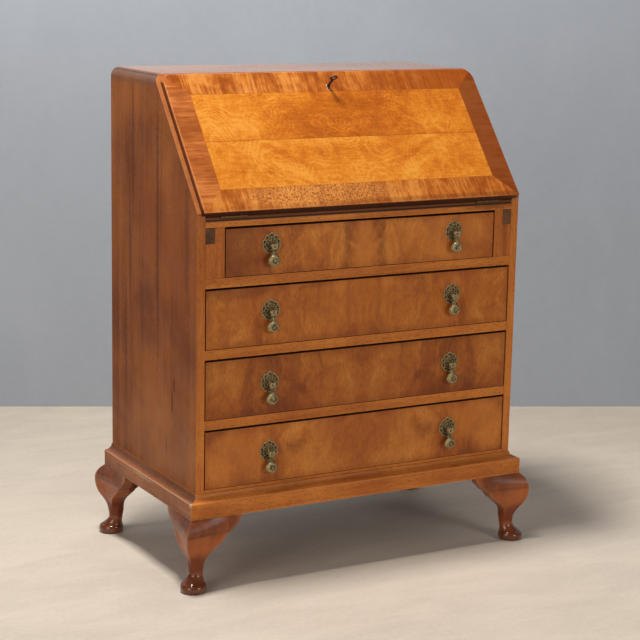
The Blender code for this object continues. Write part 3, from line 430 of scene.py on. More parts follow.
def end_bands(flat, x, up):
    """Crossbanding along the field's top and foot, redder towards the top right."""
    streak = noise(flat, 62, 5, 0.62, 0.6, (1, 0.1, 1))
    cloud = noise(flat, 14, 4, stretch=(1, 0.5, 1))
    fine = noise(flat, 280, 2, 0.6, stretch=(1, 0.09, 1))
    mixed = 0.3 * streak + 0.46 * cloud + 0.24 * noise(flat, 60, 4, 0.6) + 0.28 * fine
    colour = ramp(span(mixed - 0.14, 0.37, 0.63), (0, (144, 70, 24)), (0.5, (180, 100, 37)),
                  (1, (212, 136, 62)))
    redder = span(x, -0.05, 0.33) * span(up, 0.1, 0.2, 0.2, 0.78)
    return mix(redder, colour, (150, 70, 20))


def fall_veneer(name):
    """Quarter-matched field inside crossbanding that is mitred at its corners, pitted low on the left."""
    material, place = new_material(name)
    local = vector("SUBTRACT", place, FALL_ORIGIN)
    x = parts(local)[0]
    up = vector("DOT_PRODUCT", local, UP_THE_FALL)
    out = vector("DOT_PRODUCT", local, OUT_OF_THE_FALL)
    flat = at(x, up, out)
    half_x = abs(x)
    mottle = noise(flat, 70, 4, 0.6)
    field = fall_field(flat, x, half_x, up - FIELD_JOINT, mottle)

    beside = half_x - FIELD_HALF
    beyond = calc("MAXIMUM", up - FIELD_TOP, FIELD_FOOT - up)
    bands = mix(beside > beyond, end_bands(flat, x, up), side_bands(flat, x, up))
    border = calc("MAXIMUM", beside, beyond)
    in_band = span(border, -0.0004, 0.0004)
    colour = mix(in_band, field, bands)
    colour = mix(fade(abs(border), 0, 0.0012, 0.35), colour, (110, 52, 22))

    pits = noise(flat, 300, 2, 0.6, stretch=(1, 0.6, 1))
    pitted = fade(hypot((x + 0.1) / 0.19, (up - 0.03) / 0.032), 0.6, 1.15)
    pit = 0.75 * pitted * span(pits, 0.51, 0.6)
    fleck = 0.28 * pitted * fade(pits, 0.36, 0.45)
    colour = layered(colour, (0.34 * pitted * in_band, (226, 154, 80)), (pit * in_band, (112, 56, 22)),
                     (fleck * in_band, (240, 172, 96)))
    chip = ((0.01, FRONT_Y + 0.098, BED_Z + 0.135), (0.008, 0.0016, 0.0016), (84, 44, 22), 0.7, 0.8)
    colour = spotted(colour, place, (chip,))
    pore = span(noise(flat, 700, 1), 0.62, 0.76)
    colour = mix(0.3 * pore, colour, (96, 44, 16))

    # Painted shade along the foot, deeper on the right, on the side faces and on the underside at the foot;
    # the arrises are lighter, partly wear and partly painted highlight, less so on the shaded right edge and
    # at the foot
    low = span(x, -0.2, 0.15, 0.2, 0.42) * fade(up, 0.008, 0.015)
    flank_shade = span(half_x, LIP_HALF - 0.0012, LIP_HALF - 0.0004) * fade(out, 0.015, 0.0185, 0.8)
    rim = nearest_edge([LIP_HALF - half_x, abs(up), LIP_TOP - up, abs(out - FALL_FACE)])
    lighter_arris = fade(rim + 0.004 * noise(flat, 140, 3), 0.0026, 0.005, 0.7)
    lighter_arris = lighter_arris * span(x, 0.3, 0.36, 1, 0.15) * span(up, 0.006, 0.016, 0.45, 1)
    foot = fade(out, 0.016, 0.0192) * fade(up, 0.006, 0.014)
    colour = layered(colour, (low, (92, 42, 16)), (flank_shade, (66, 30, 16)), (lighter_arris, (214, 142, 94)),
                     (foot, (58, 28, 16)))
    rough = span(noise(flat, 18, 3), 0.3, 0.7, 0.24, 0.4)
    fine = bump(0.5 * mottle - 0.8 * pore - 1.5 * pit, 0.00016, 0.5)
    normal = bump(noise(flat, 24), 0.0006, 0.3, fine)
    return finish(material, colour, rough, normal, coat=0.04, specular=0.16)


def brass(name, colour, dark, bright, scale=260):
    """Old metal: tarnished in the hollows, rubbed brighter on the edges."""
    material, place = new_material(name)
    blotch = noise(place, scale, 4, 0.6)
    mixed = 0.7 * blotch + 0.3 * noise(place, scale * 5, 2)
    base = ramp(span(mixed, 0.3, 0.7), (0, dark), (0.55, colour), (1, bright))
    layer = geometry(place, "Pointiness")
    base = layered(base, (span(layer, 0.505, 0.56, 0, 0.7), bright), (fade(layer, 0.44, 0.495, 0.75), dark))
    rough = span(blotch, 0.3, 0.7, 0.38, 0.6)
    return finish(material, base, rough, bump(mixed, 0.00015, 0.5), metallic=0.7)


# Meshes
JOIN_DISTANCE = 2e-6
FLAT_ANGLE = math.radians(0.6)
ARRIS_ANGLE = math.radians(35)
MOSTLY = 0.7
ARRIS = 0.0008
RIM_DEPTH = 0.002


def faces_of(node):
    """A node's mesh as a clean bmesh: its split corners joined and its flat faces whole."""
    source = frame["nodes"][node].data
    bm = bmesh.new()
    corners = [bm.verts.new(vertex.co) for vertex in source.vertices]
    for polygon in source.polygons:
        bm.faces.new([corners[i] for i in polygon.vertices])
    bmesh.ops.remove_doubles(bm, verts=bm.verts, dist=JOIN_DISTANCE)
    outward(bm)
    bmesh.ops.dissolve_limit(bm, angle_limit=FLAT_ANGLE, use_dissolve_boundaries=False,
                             verts=bm.verts, edges=bm.edges)
    return bm


def outward(bm):
    bmesh.ops.recalc_face_normals(bm, faces=bm.faces)
    return bm


def eased(bm, width, shortest):
    """Rounds the solid's arrises that are longer than shortest."""
    chosen = [edge for edge in bm.edges
              if edge.calc_face_angle(0) > ARRIS_ANGLE and edge.calc_length() > shortest]
    bmesh.ops.bevel(bm, geom=chosen, offset=width, segments=2, profile=0.5, affect="EDGES",
                    clamp_overlap=True)


def painted(bm, count):
    """Gives the second material to the faces made after the first count."""
    bm.faces.ensure_lookup_table()
    for face in bm.faces[count:]:
        face.material_index = 1


def as_object(name, bm, *materials, sharp=35):
    """The bmesh as a smooth-shaded object, sharp where its faces meet at more than that angle."""
    for face in bm.faces:
        face.smooth = True
    for edge in bm.edges:
        edge.smooth = edge.calc_face_angle(0) < math.radians(sharp)
    mesh = bpy.data.meshes.new(name)
    bm.to_mesh(mesh)
    bm.free()
    for material in materials:
        mesh.materials.append(material)
    obj = bpy.data.objects.new(name, mesh)
    bpy.context.scene.collection.objects.link(obj)
    return obj


def body_of(node):
    return frame["nodes"][node]["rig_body"]


def box_of(node):
    low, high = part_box(node)
    return tuple(low), tuple(high)


def stand_for(node, bm, slot, *materials, sharp=35, flat_faces=False):
    """Makes the bmesh the visible piece that stands for a node."""
    obj = as_object(node + "_dressed", bm, *materials, sharp=sharp)
    if flat_faces:
        obj.modifiers.new("flat faces", "WEIGHTED_NORMAL").keep_sharp = True
    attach(obj, body_of(node))
    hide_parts(node)


def board(node, material, slot, width=ARRIS, shortest=0.004, other=None, elsewhere=None):
    """The node again with its arrises eased, in a better material, and in another where elsewhere says."""
    bm = faces_of(node)
    eased(bm, width, shortest)
    materials = [material]
    if other:
        materials.append(other)
        for face in bm.faces:
            face.material_index = int(elsewhere(face.normal))
    stand_for(node, bm, slot, *materials, flat_faces=True)


def keep(node, material):
    """The CAD node itself, in a better material."""
    frame["nodes"][node].material_slots[0].material = material


def loft(bm, rings, closed=False):
    """Joins closed rings of points in order: the last one to the first, or with a face over each end."""
    made = [[bm.verts.new(point) for point in ring] for ring in rings]
    for lower, upper in zip(made, made[1:] + made[:1] if closed else made[1:]):
        for i, corner in enumerate(lower):
            j = (i + 1) % len(lower)
            bm.faces.new((corner, lower[j], upper[j], upper[i]))
    if not closed:
        bm.faces.new(list(reversed(made[0])))
        bm.faces.new(made[-1])


def oval(centre, first, second, steps):
    """Points round an oval whose half axes are first and second."""
    turns = [math.tau * i / steps for i in range(steps)]
    return [centre + first * math.cos(turn) + second * math.sin(turn) for turn in turns]


def turned(bm, place, axes, profile, steps, flat=1):
    """A turned solid: profile gives distances along the third axis and radii; flat squeezes the second."""
    first, second, third = [Vector(axis) for axis in axes]
    loft(bm, [oval(Vector(place) + third * along, first * radius, second * (radius * flat), steps)
              for along, radius in profile])


def hoop(bm, centre, first, second, reach, rod, steps, sides):
    """A ring of round rod: first and second are its plane's axes, reach its half sizes along them."""
    first, second = Vector(first), Vector(second)
    third = first.cross(second)
    middles = oval(Vector(centre), first * reach[0], second * reach[1], steps)
    loft(bm, [oval(middle, out * rod, third * rod, sides)
              for middle, out in zip(middles, oval(Vector(), first, second, steps))], closed=True)


def slab(bm, points, faces, rear, fore):
    """A closed solid on a flat net of points: rear and fore place each of them on its two sides."""
    back = [bm.verts.new(rear(*point)) for point in points]
    front = [bm.verts.new(fore(*point)) for point in points]
    rims = set()
    for face in faces:
        bm.faces.new([front[i] for i in face])
        bm.faces.new([back[i] for i in reversed(face)])
        for pair in zip(face, face[1:] + face[:1]):
            if pair[::-1] in rims:
                rims.remove(pair[::-1])
            else:
                rims.add(pair)
    for i, j in sorted(rims):
        bm.faces.new((front[j], front[i], back[i], back[j]))


def prism(bm, outline, rear, fore):
    slab(bm, outline, [list(range(len(outline)))], rear, fore)


def smoothed(rows, steps):
    """The rows with others put smoothly between them."""
    result = []
    last = len(rows) - 1
    for i in range(last):
        near = rows[max(i - 1, 0)], rows[i], rows[i + 1], rows[min(i + 2, last)]
        for k in range(steps):
            u = k / steps
            result.append([(2 * b + (c - a) * u + (2 * a - 5 * b + 4 * c - d) * u ** 2
                            + (3 * b - a - 3 * c + d) * u ** 3) / 2 for a, b, c, d in zip(*near)])
    result.append(list(rows[last]))
    return result


# Marks on one side of the case: y, z, their half sizes, half depth, colour, share, unevenness
LEFT_MARKS_AND_FLOOR_LIGHT = (
    (-0.1, 0.402, 0.0022, 0.013, 0.01, (30, 14, 8), 0.95, 0.5),
    (-0.091, 0.362, 0.003, 0.026, 0.01, (30, 14, 8), 0.95, 0.6),
    (-0.061, 0.268, 0.003, 0.018, 0.01, (30, 14, 8), 0.95, 0.5),
    (-0.018, 0.72, 0.0065, 0.25, 0.01, (62, 32, 22), 0.5, 0.8),
    (-0.036, 0.8, 0.0045, 0.14, 0.01, (62, 32, 22), 0.34, 0.8),
    (0.107, 0.87, 0.005, 0.15, 0.01, (58, 30, 22), 0.5, 0.7),
    (0.123, 0.64, 0.006, 0.11, 0.01, (62, 32, 24), 0.48, 0.9),
    (0.147, 0.4, 0.0065, 0.19, 0.01, (66, 36, 26), 0.44, 0.9),
    (-0.158, 0.68, 0.011, 0.11, 0.01, (64, 36, 26), 0.42, 0.9),
    (0.045, 0.56, 0.045, 0.03, 0.01, (84, 50, 38), 0.32, 0.8),
    (-0.12, 0.68, 0.075, 0.13, 0.01, (146, 74, 38), 0.36, 0.5),
    (0, 0.6, 0.4, 0.22, 0.02, (104, 50, 30), 0.17, 0.3),
    (0.035, 0.75, 0.03, 0.1, 0.01, (160, 86, 48), 0.3, 0.6),
    # Painted light from the floor: lighter low down on the left side
    (-0.03, 0.27, 0.2, 0.09, 0.02, (176, 116, 72), 0.36, 0.5),
)
RIGHT_MARKS = (
    (-0.06, 0.6, 0.016, 1.2, 0.01, (66, 34, 22), 0.34, 0.6),
    (0.1, 0.6, 0.007, 0.5, 0.01, (66, 34, 22), 0.4, 0.8),
)


def side_marks_and_painted_light():
    """Cracks, dark streaks and zones of both sides, a painted grey sheen on the left side's rounded top, and
    a painted shadow line along each slope where the fall meets it.
    """
    marks = []
    for x, rows in ((-HALF_CASE, LEFT_MARKS_AND_FLOOR_LIGHT), (HALF_CASE, RIGHT_MARKS)):
        for y, z, half_y, half_z, half_x, *look in rows:
            marks.append(((x, y, z), (half_x, half_y, half_z), *look))
    # A painted grey sheen on the left side's rounded top
    marks.append(((-HALF_CASE, 0, 1.03), (0.04, HUGE, 0.028), (98, 80, 74), 0.78, 0))
    # A painted shadow line along each side's slope, where the fall's lip meets it
    for x in (-FALL_GAP_SHADOW_X, FALL_GAP_SHADOW_X):
        marks.append(((x, 0, 0.88), (0.0016, HUGE, 0.2), (50, 24, 14), 0.9, 0))
    return marks


# Case
# Painted shade, laid on undersides, on faces inside the gaps and in the keyhole
GAP_SHADE_WOOD = wood("gap_shade_walnut", GAP_SHADE, "x", 1, gloss=0.7, coat=0, red=0)
STILE_MARKS = (
    ((0, FRONT_Y, 0.4), (HUGE, HUGE, 0.22), (222, 138, 62), 0.16, 0.3),
    ((0, FRONT_Y, 0.9), (HUGE, HUGE, 0.13), (140, 88, 66), 0.42, 0.2),
)
# Painted shade over the right of the top, and a dark streak across it
TOP_SHADE_AND_STREAK = (
    ((0.3, 0.1, 1.022), (0.26, HUGE, 0.02), (120, 72, 44), 0.45, 0.2),
    ((0.05, 0.13, 1.022), (0.3, 0.016, 0.02), (120, 72, 44), 0.3, 0.8),
)
# A painted shade band and a painted black shadow line along the bed's front under the fall's foot, and a
# stain on the right
BED_SHADE_AND_STAIN = (
    ((0, FRONT_Y, BED_Z), (HUGE, 0.01, 0.0076), (84, 44, 24), 0.85, 0.1),
    ((0, FRONT_Y, 0.7508), (HUGE, 0.01, 0.0018), (30, 14, 8), 0.9, 0.2),
    ((0.31, FRONT_Y, 0.746), (0.05, 0.01, 0.005), (92, 46, 24), 0.5, 1.4),
)
# Painted shade in the cove under the case, and a light line along the fascia's top edge that is partly wear
# and partly painted highlight
PLINTH_SHADE_AND_HIGHLIGHT = (
    ((0, 0, 0.1915), (HUGE, HUGE, 0.0046), (66, 30, 16), 0.27, 0),
    ((0, 0, 0.1846), (HUGE, HUGE, 0.001), (196, 128, 74), 0.55, 0.5),
)
# Painted shade in the cove and under the bead, a light line along the fascia's top that is partly wear and
# partly painted highlight, a worn corner, a rubbed place and a scratch
PLINTH_SIDE_LIGHT_SHADE_AND_WEAR = (
    ((0, 0, 0.1915), (HUGE, HUGE, 0.0046), (58, 32, 22), 0.62, 0),
    ((0, 0, 0.1846), (HUGE, HUGE, 0.0012), (190, 146, 116), 0.6, 0.7),
    ((-0.398, -0.225, 0.184), (0.009, 0.009, 0.005), (220, 188, 160), 0.65, 1.2),
    ((0, 0, 0.1985), (HUGE, HUGE, 0.0012), (48, 26, 18), 0.6, 0.5),
    ((-0.398, 0.02, 0.18), (0.01, 0.06, 0.003), (206, 170, 140), 0.45, 1.6),
    ((-0.398, 0.13, 0.172), (0.01, 0.03, 0.002), (70, 40, 28), 0.5, 1.4),
)


def walnut(node, colours, along, seed, **looks):
    return wood(node + "_walnut", colours, along, seed, box_of(node), **looks)


def oak(node, along, seed, gloss=0.6, coat=0):
    return wood(node + "_oak", OAK, along, seed, gloss=gloss, coat=coat)


stile = wood("stile_walnut", RAIL, "z", 2, spots=STILE_MARKS)
for name, seed in (("left_side", 3), ("right_side", 8)):
    board(name, walnut(name, SIDE, "z", seed, gloss=0.44, streaks=0.18, bands=0.24, clouds=0.44, red=0.08,
                       wear_colour=(170, 110, 66), specular=0.1, spots=side_marks_and_painted_light()),
          "side_walnut", other=stile, elsewhere=lambda normal: normal.y < -0.5)
board("top_board", walnut("top_board", TOP, "x", 5, gloss=0.26, coat=0.7, coat_roughness=0.14,
                          specular=0.4, spots=TOP_SHADE_AND_STREAK), "top_walnut")
# The bed's and bottom's undersides, both faces of the dustboards and the housings' inner faces get painted
# shade
for name, seed, spots in (("writing_bed", 6, BED_SHADE_AND_STAIN), ("bottom_board", 7, ())):
    board(name, walnut(name, RAIL, "x", seed, spots=spots), "walnut", other=GAP_SHADE_WOOD,
          elsewhere=lambda normal: normal.z < -MOSTLY)
for name, seed in (("lower_dustboard", 11), ("middle_dustboard", 12), ("upper_dustboard", 13)):
    board(name, walnut(name, RAIL, "x", seed, wear_width=0.002), "walnut", width=0.0005,
          other=GAP_SHADE_WOOD, elsewhere=lambda normal: abs(normal.z) > MOSTLY)
for name, seed in (("left_loper_housing", 14), ("right_loper_housing", 15)):
    board(name, walnut(name, HOUSING, "z", seed, wear_width=0.002), "walnut", width=0.0005,
          other=GAP_SHADE_WOOD, elsewhere=lambda normal: abs(normal.y) < 0.3)
board("plinth", walnut("plinth", RAIL, "x", 17, gloss=0.36, spots=PLINTH_SHADE_AND_HIGHLIGHT), "walnut", width=0.001,
      other=wood("plinth_side_walnut", PLINTH_SIDE, "y", 18, box_of("plinth"), gloss=0.4,
                 spots=PLINTH_SIDE_LIGHT_SHADE_AND_WEAR, wear_colour=(190, 142, 110)),
      elsewhere=lambda normal: abs(normal.x) > abs(normal.y) and abs(normal.x) > 0.05)
for name, along, seed in (("back_panel", "z", 20), ("plinth_back_rail", "x", 21)):
    keep(name, wood(name + "_oak", OAK, along, seed, box_of(name), gloss=0.6, coat=0))
for name, along, seed in (("pigeonhole_unit", "z", 22), ("left_small_drawer", "x", 23),
                          ("right_small_drawer", "x", 24)):
    board(name, oak(name, along, seed, 0.45, 0.05), "plain_oak", width=0.0004)

# Legs, measured from the plinth's corner
LEG_HEIGHT = 0.152
HALF_PLINTH = 0.398
KNEE_BULGE = 0.0165
EAR_REACH = 0.114
EAR_THICKNESS = 0.022
POST_WIDTH = 0.046
ANKLE_RADIUS = 0.015
ANKLE_SETBACK = 0.019
PAD_RADIUS = 0.027
PAD_SETBACK = 0.011
CORE_RADIUS = 0.0178
FOOT_HEIGHT = 0.04
# Height, bulge at the corner, halfway along an ear and at its tip, reach, thickness, post, how round it is
KNEE_LEVELS = (
    (0.998, 0, 0, 0, 1, 0.9, 1, 0),
    (0.955, 0.4, 0.16, 0, 0.985, 0.95, 1, 0),
    (0.905, 0.72, 0.34, 0, 0.95, 1, 1, 0),
    (0.85, 0.93, 0.48, 0.02, 0.87, 1.05, 1, 0),
    (0.8, 0.99, 0.48, 0.06, 0.8, 1.1, 1, 0),
    (0.78, 0.99, 0.42, 0.06, 0.765, 1.14, 1, 0),
    (0.768, 0.99, 0.38, 0.07, 0.715, 1.16, 1, 0),
    (0.74, 0.98, 0.3, 0.08, 0.69, 1.2, 0.99, 0),
    (0.675, 0.93, 0.24, 0.14, 0.625, 1.34, 0.97, 0.02),
    (0.645, 0.88, 0.25, 0.18, 0.585, 1.4, 0.96, 0.04),
    (0.632, 0.86, 0.26, 0.2, 0.545, 1.44, 0.95, 0.05),
    (0.61, 0.82, 0.26, 0.22, 0.52, 1.48, 0.94, 0.06),
    (0.545, 0.66, 0.24, 0.24, 0.425, 1.56, 0.86, 0.2),
    (0.48, 0.44, 0.16, 0.2, 0.36, 1.46, 0.76, 0.44),
    (0.415, 0.22, 0.06, 0.1, 0.32, 1.32, 0.68, 0.74),
)
# Height, then radius and setback between ankle (0) and pad (1)
ROUND_LEVELS = (
    (0.345, 0.16, 0), (0.29, 0.04, 0), (0.245, 0, 0.05), (0.21, 0.05, 0.16), (0.175, 0.22, 0.4),
    (0.145, 0.44, 0.64), (0.122, 0.66, 0.82), (0.112, 0.82, 0.9), (0.09, 0.97, 0.98), (0.062, 1.02, 1),
    (0.034, 0.98, 1), (0.012, 0.82, 1), (0, 0.56, 1),
)
FACE_SHARES = (0.06, 0.12, 0.18, 0.28, 0.4, 0.55, 0.7, 0.85, 1)
BACK_SHARES = ((1, 0), (0.75, 0.12), (0.5, 0.25), (0.25, 0.46), (0, 0.7))
HALF_ANGLES = (0, 8, 16, 24, 35, 48, 60, 72, 82, 92, 108, 120, 132, 144, 156, 180)
# Height and half height of the zones of colour down a leg, colour, share, unevenness; partly the wood's own
# tone and partly painted light and shade: painted shade with a grey sheen at the top, a painted glow of light
# below it, a painted shadow line under the knee's roll, and a darker ankle and pad
LEG_TONE_LIGHT_AND_SHADE_ZONES = (
    (0.142, 0.018, (100, 62, 50), 0.48, 0.6), (0.098, 0.024, (182, 100, 48), 0.5, 0.7),
    (0.121, 0.0035, (60, 28, 16), 0.35, 0.9), (0.056, 0.024, (98, 34, 10), 0.7, 0.7),
    (0.01, 0.02, (70, 28, 12), 0.65, 0.5),
)


def knee_section(bulge, middle, tip, reach, thickness, post):
    """Points around the knee and its two ears, from the corner's arris."""
    half = []
    for share in FACE_SHARES:
        ends = bulge * (1 - share) * (1 - 2 * share) + tip * share * (2 * share - 1)
        half.append((share * (reach + bulge) - bulge, -ends - 4 * middle * share * (1 - share)))
    slack = min(post, reach) - thickness
    half += [(post + (reach - post) * out, thickness + slack * back) for out, back in BACK_SHARES]
    return [(-bulge, -bulge)] + half + [(post, post)] + [(b, a) for a, b in reversed(half)]


def round_section(radius, setback):
    angles = list(HALF_ANGLES) + [360 - angle for angle in reversed(HALF_ANGLES[1:-1])]
    turns = [math.radians(225 + angle) for angle in angles]
    return [(setback + radius * math.cos(turn), setback + radius * math.sin(turn)) for turn in turns]


def leg_rings():
    """The heights of a leg's rings and their points, from the knee down."""
    rows = []
    circle = round_section(CORE_RADIUS, ANKLE_SETBACK)
    for height, bulge, middle, tip, reach, thickness, post, roundness in KNEE_LEVELS:
        square = knee_section(bulge * KNEE_BULGE, middle * KNEE_BULGE, tip * KNEE_BULGE, reach * EAR_REACH,
                              thickness * EAR_THICKNESS, post * POST_WIDTH)
        points = [a + (c - a) * roundness for pair, other in zip(square, circle) for a, c in zip(pair, other)]
        rows.append([height * LEG_HEIGHT] + points)
    for height, radius, setback in ROUND_LEVELS:
        points = round_section(ANKLE_RADIUS + (PAD_RADIUS - ANKLE_RADIUS) * radius,
                               ANKLE_SETBACK + (PAD_SETBACK - ANKLE_SETBACK) * setback)
        rows.append([height * LEG_HEIGHT] + [value for point in points for value in point])
    return [(row[0], list(zip(row[1::2], row[2::2]))) for row in smoothed(rows, 3)]


def leg(node, side, end, seed):
    """A cabriole leg, its arris and the edges of its ears rubbed light."""
    bm = bmesh.new()
    loft(bm, [[(side * (HALF_PLINTH - a), end * (BACK_Y - b), height) for a, b in points]
              for height, points in leg_rings()])
    outward(bm)
    spots = []
    # Zones of painted light and shade down the leg, partly its own tone
    for height, half_height, *look in LEG_TONE_LIGHT_AND_SHADE_ZONES:
        wide = 0.08 if height > 0.06 else 0.06
        spots.append(((side * HALF_PLINTH, end * BACK_Y, height), (wide, wide, half_height), *look))
    looks = {"clouds": 0.38, "streaks": 0.28, "bands": 0.24, "spots": spots, "wear_colour": (184, 122, 80)}
    knee = wood(node + "_walnut", LEG, "z", seed, gloss=0.3, coat=0.28, coat_roughness=0.24, rubbed=0.5,
                **looks)
    foot = wood(node + "_foot_walnut", LEG, "z", seed, gloss=0.22, coat=1, coat_roughness=0.06, **looks)
    for face in bm.faces:
        face.material_index = int(face.calc_center_median().z < FOOT_HEIGHT)
    stand_for(node, bm, "leg_walnut", knee, foot, sharp=42)


for name, side, end, seed in (("front_left_leg", -1, -1, 31), ("front_right_leg", 1, -1, 32),
                              ("rear_left_leg", -1, 1, 33), ("rear_right_leg", 1, 1, 34)):
    leg(name, side, end, seed)

# Fall and bearers
LONG_ARRIS = 0.02
board("fall_board", fall_veneer("fall_veneer"), "figured_walnut", width=0.0012, shortest=LONG_ARRIS,
      other=wood("fall_inside_walnut", INSIDE, "x", 43, gloss=0.34, streaks=0.3, bands=0.34, clouds=0.26),
      elsewhere=lambda normal: normal.dot(Vector(OUT_OF_THE_FALL)) < -MOSTLY)
for name, seed in (("left_loper", 41), ("right_loper", 42)):
    board(name, walnut(name, END, "y", seed, gloss=0.55, coat=0, wear_colour=(120, 84, 58),
                       wear_width=0.002), "end_grain", width=0.0007)

# Drawers
FIT = 0.0003
SOCKET_SLACK = 0.0004
SIDE_THICKNESS = 0.009
TAIL_LENGTH = 0.012
TAIL_ROOT = 0.5
TAIL_END = 0.66
DROPPED_TOP = 0.002
RAISED_FOOT = 0.0006
DRAWN_END = 0.0006
DRAWN_ARRIS = 0.0012
NEAR = 1e-4
PAST_END = 0.002
LONG_FRONT_ARRIS = 0.03
# Plain wood for the fronts' edges, with painted shade in a dark band within 5.5 mm of the front, in the gaps
EDGE_WOOD_AND_GAP_SHADE = wood("edge_walnut_and_gap_shade", EDGE, "x", 44, gloss=0.6, coat=0, red=0.1,
                 spots=(((0, FRONT_Y, 0.45), (HUGE, 0.0055, HUGE), (36, 19, 12), 0.75, 0.2),))
# Each drawer's tails, seed, depth of colour, dark cloud and stains.
# Of each stain its x, z, half sizes, colour, share and unevenness
DRAWERS = (
    ("top_drawer", 3, 51, 0, (0.04, 0.69, 0.011, 0.07),
     ((-0.315, 0.69, 0.085, 0.1, (104, 50, 24), 0.5, 0.7),
      (0.3, 0.655, 0.05, 0.02, (126, 62, 28), 0.15, 0.9),
      (0, 0.675, 0.022, 0.08, (214, 132, 58), 0.5, 0.5),
      (0.2, 0.68, 0.12, 0.05, (216, 134, 62), 0.34, 0.8))),
    ("drawer_3", 4, 52, 0.06, (0.036, 0.56, 0.009, 0.1),
     ((-0.3, 0.605, 0.09, 0.016, (96, 44, 26), 0.4, 0.9),
      (0, 0.565, 0.09, 0.06, (214, 126, 50), 0.3, 0.7),
      (-0.24, 0.56, 0.1, 0.05, (150, 66, 22), 0.2, 0.7),
      (0.25, 0.56, 0.12, 0.06, (150, 66, 22), 0.22, 0.7))),
    ("drawer_2", 4, 53, 0.24, (0.155, 0.395, 0.032, 0.016), ()),
    ("drawer_1", 4, 54, 0.02, (0.16, 0.275, 0.03, 0.015),
     ((-0.335, 0.32, 0.03, 0.02, (110, 54, 28), 0.25, 0.9),
      (0.02, 0.285, 0.22, 0.07, (146, 76, 34), 0.3, 0.7),
      (-0.29, 0.262, 0.07, 0.05, (218, 136, 64), 0.34, 0.8),
      (0.31, 0.275, 0.06, 0.05, (218, 136, 60), 0.36, 0.8))),
)


def carved(bm, cutter):
    """The solid bm with the solid cutter taken away from it."""
    made = [as_object("carved_solid", bm), as_object("carved_cutter", cutter)]
    cut = made[0].modifiers.new("cut", "BOOLEAN")
    cut.operation, cut.solver, cut.object = "DIFFERENCE", "EXACT", made[1]
    result = bmesh.new()
    result.from_object(made[0], bpy.context.evaluated_depsgraph_get())
    for obj in made:
        mesh = obj.data
        bpy.data.objects.remove(obj)
        bpy.data.meshes.remove(mesh)
    return result


def tail_sockets(front, box, count):
    """Wedges for the tails of both drawer sides, which let them show at the front's ends."""
    low, high = box_of(front)
    top = box_of(box)[1]
    pitch = (top[2] - low[2]) / count
    shoulder = high[1] + FIT
    tip, mouth = shoulder - TAIL_LENGTH - SOCKET_SLACK, shoulder + SIDE_THICKNESS / 2
    root, end = (pitch * share / 2 + SOCKET_SLACK for share in (TAIL_ROOT, TAIL_END))
    bm = bmesh.new()
    for side in (-1, 1):
        near, far = side * (top[0] - SIDE_THICKNESS - SOCKET_SLACK), side * (high[0] + PAST_END)
        for i in range(count):
            middle = low[2] + pitch * (i + 0.5)
            outline = [(mouth, middle - root), (tip, middle - end), (tip, middle + end),
                       (mouth, middle + root)]
            prism(bm, outline, lambda y, z: (near, y, z), lambda y, z: (far, y, z))
    return outward(bm)


def drawer_front(node, box, tails, material):
    """A front drawn in at its edges, so that dark gaps show round it, with plain wood on its edges, painted
    with shade near the front.
    """
    low, high = box_of(node)
    bm = carved(faces_of(node), tail_sockets(node, box, tails))
    for vertex in bm.verts:
        if vertex.co.z > high[2] - NEAR:
            vertex.co.z -= DROPPED_TOP
        elif vertex.co.z < low[2] + NEAR:
            vertex.co.z += RAISED_FOOT
        if abs(vertex.co.x) > high[0] - NEAR:
            drawn_in = DRAWN_ARRIS if vertex.co.y < low[1] + RIM_DEPTH else DRAWN_END
            vertex.co.x -= math.copysign(drawn_in, vertex.co.x)
    eased(bm, ARRIS, LONG_FRONT_ARRIS)
    for face in bm.faces:
        face.material_index = int(face.normal.y > -0.45)
    stand_for(node, bm, "drawer_walnut", material, EDGE_WOOD_AND_GAP_SHADE, flat_faces=True)


for name, tails, seed, depth, dark, stains in DRAWERS:
    front = name + "_front"
    spots = [((x, FRONT_Y, z), (half_x, 1, half_z), *look) for x, z, half_x, half_z, *look in stains]
    veneer = drawer_veneer(front + "_veneer", seed, box_of(front), depth, dark, spots)
    drawer_front(front, name + "_box", tails, veneer)
    keep(name + "_box", oak(name + "_box", "y", seed + 0.3))
    keep(name + "_bottom", oak(name + "_bottom", "x", seed + 0.6))

# Metal
OLD_BRASS = brass("handle_brass", (108, 86, 54), (32, 22, 13), (182, 162, 116))
DROP_BRASS = brass("drop_brass", (110, 92, 56), (42, 31, 18), (204, 186, 140))
HINGE_BRASS = brass("hinge_brass", (62, 40, 22), (32, 19, 11), (112, 82, 48), 180)
RIM_BRASS = brass("rim_brass", (190, 152, 104), (120, 84, 48), (232, 204, 160), 300)
# Dark wood for the disc behind each rose: grime and painted shade in its holes
GRIME_AND_SHADE = wood("handle_grime_and_shade", DUST_AND_SHADE, "z", 61, gloss=0.7, coat=0)
IRON = brass("key_iron", (36, 22, 16), (14, 8, 6), (96, 74, 60), 300)
for name in ("left_hinge_case_leaf", "right_hinge_case_leaf", "left_hinge_fall_leaf", "right_hinge_fall_leaf",
             "strike_plate", "lock_case"):
    keep(name, HINGE_BRASS)
keep("lock_bolt", IRON)

# Handles, about the pivot of their drops
PIVOT_Y = -0.21965
PIVOT_BELOW_TOP = 0.0014
ROSE_LIFT = 0.0018
ROSE_BACK = -0.2063
ROSE_RADIUS = 0.0205
GRIME_AND_SHADE_RADIUS = 0.0176
GRIME_AND_SHADE_PROUD = 0.0002
NUT_Y = -0.1877
LOBES = 10
STEPS = 120
RING_SHARES = ((0.1, 0.18, 0.26, 0.34, 0.4), (0.9, 0.95, 1))
# Inner and outer share of a ring of holes, its shift, and a hole's middle, half share and half turn
HOLE_RINGS = ((0.4, 0.62, 0, 0.505, 0.08, 0.2), (0.62, 0.9, 0.5, 0.755, 0.1, 0.175))
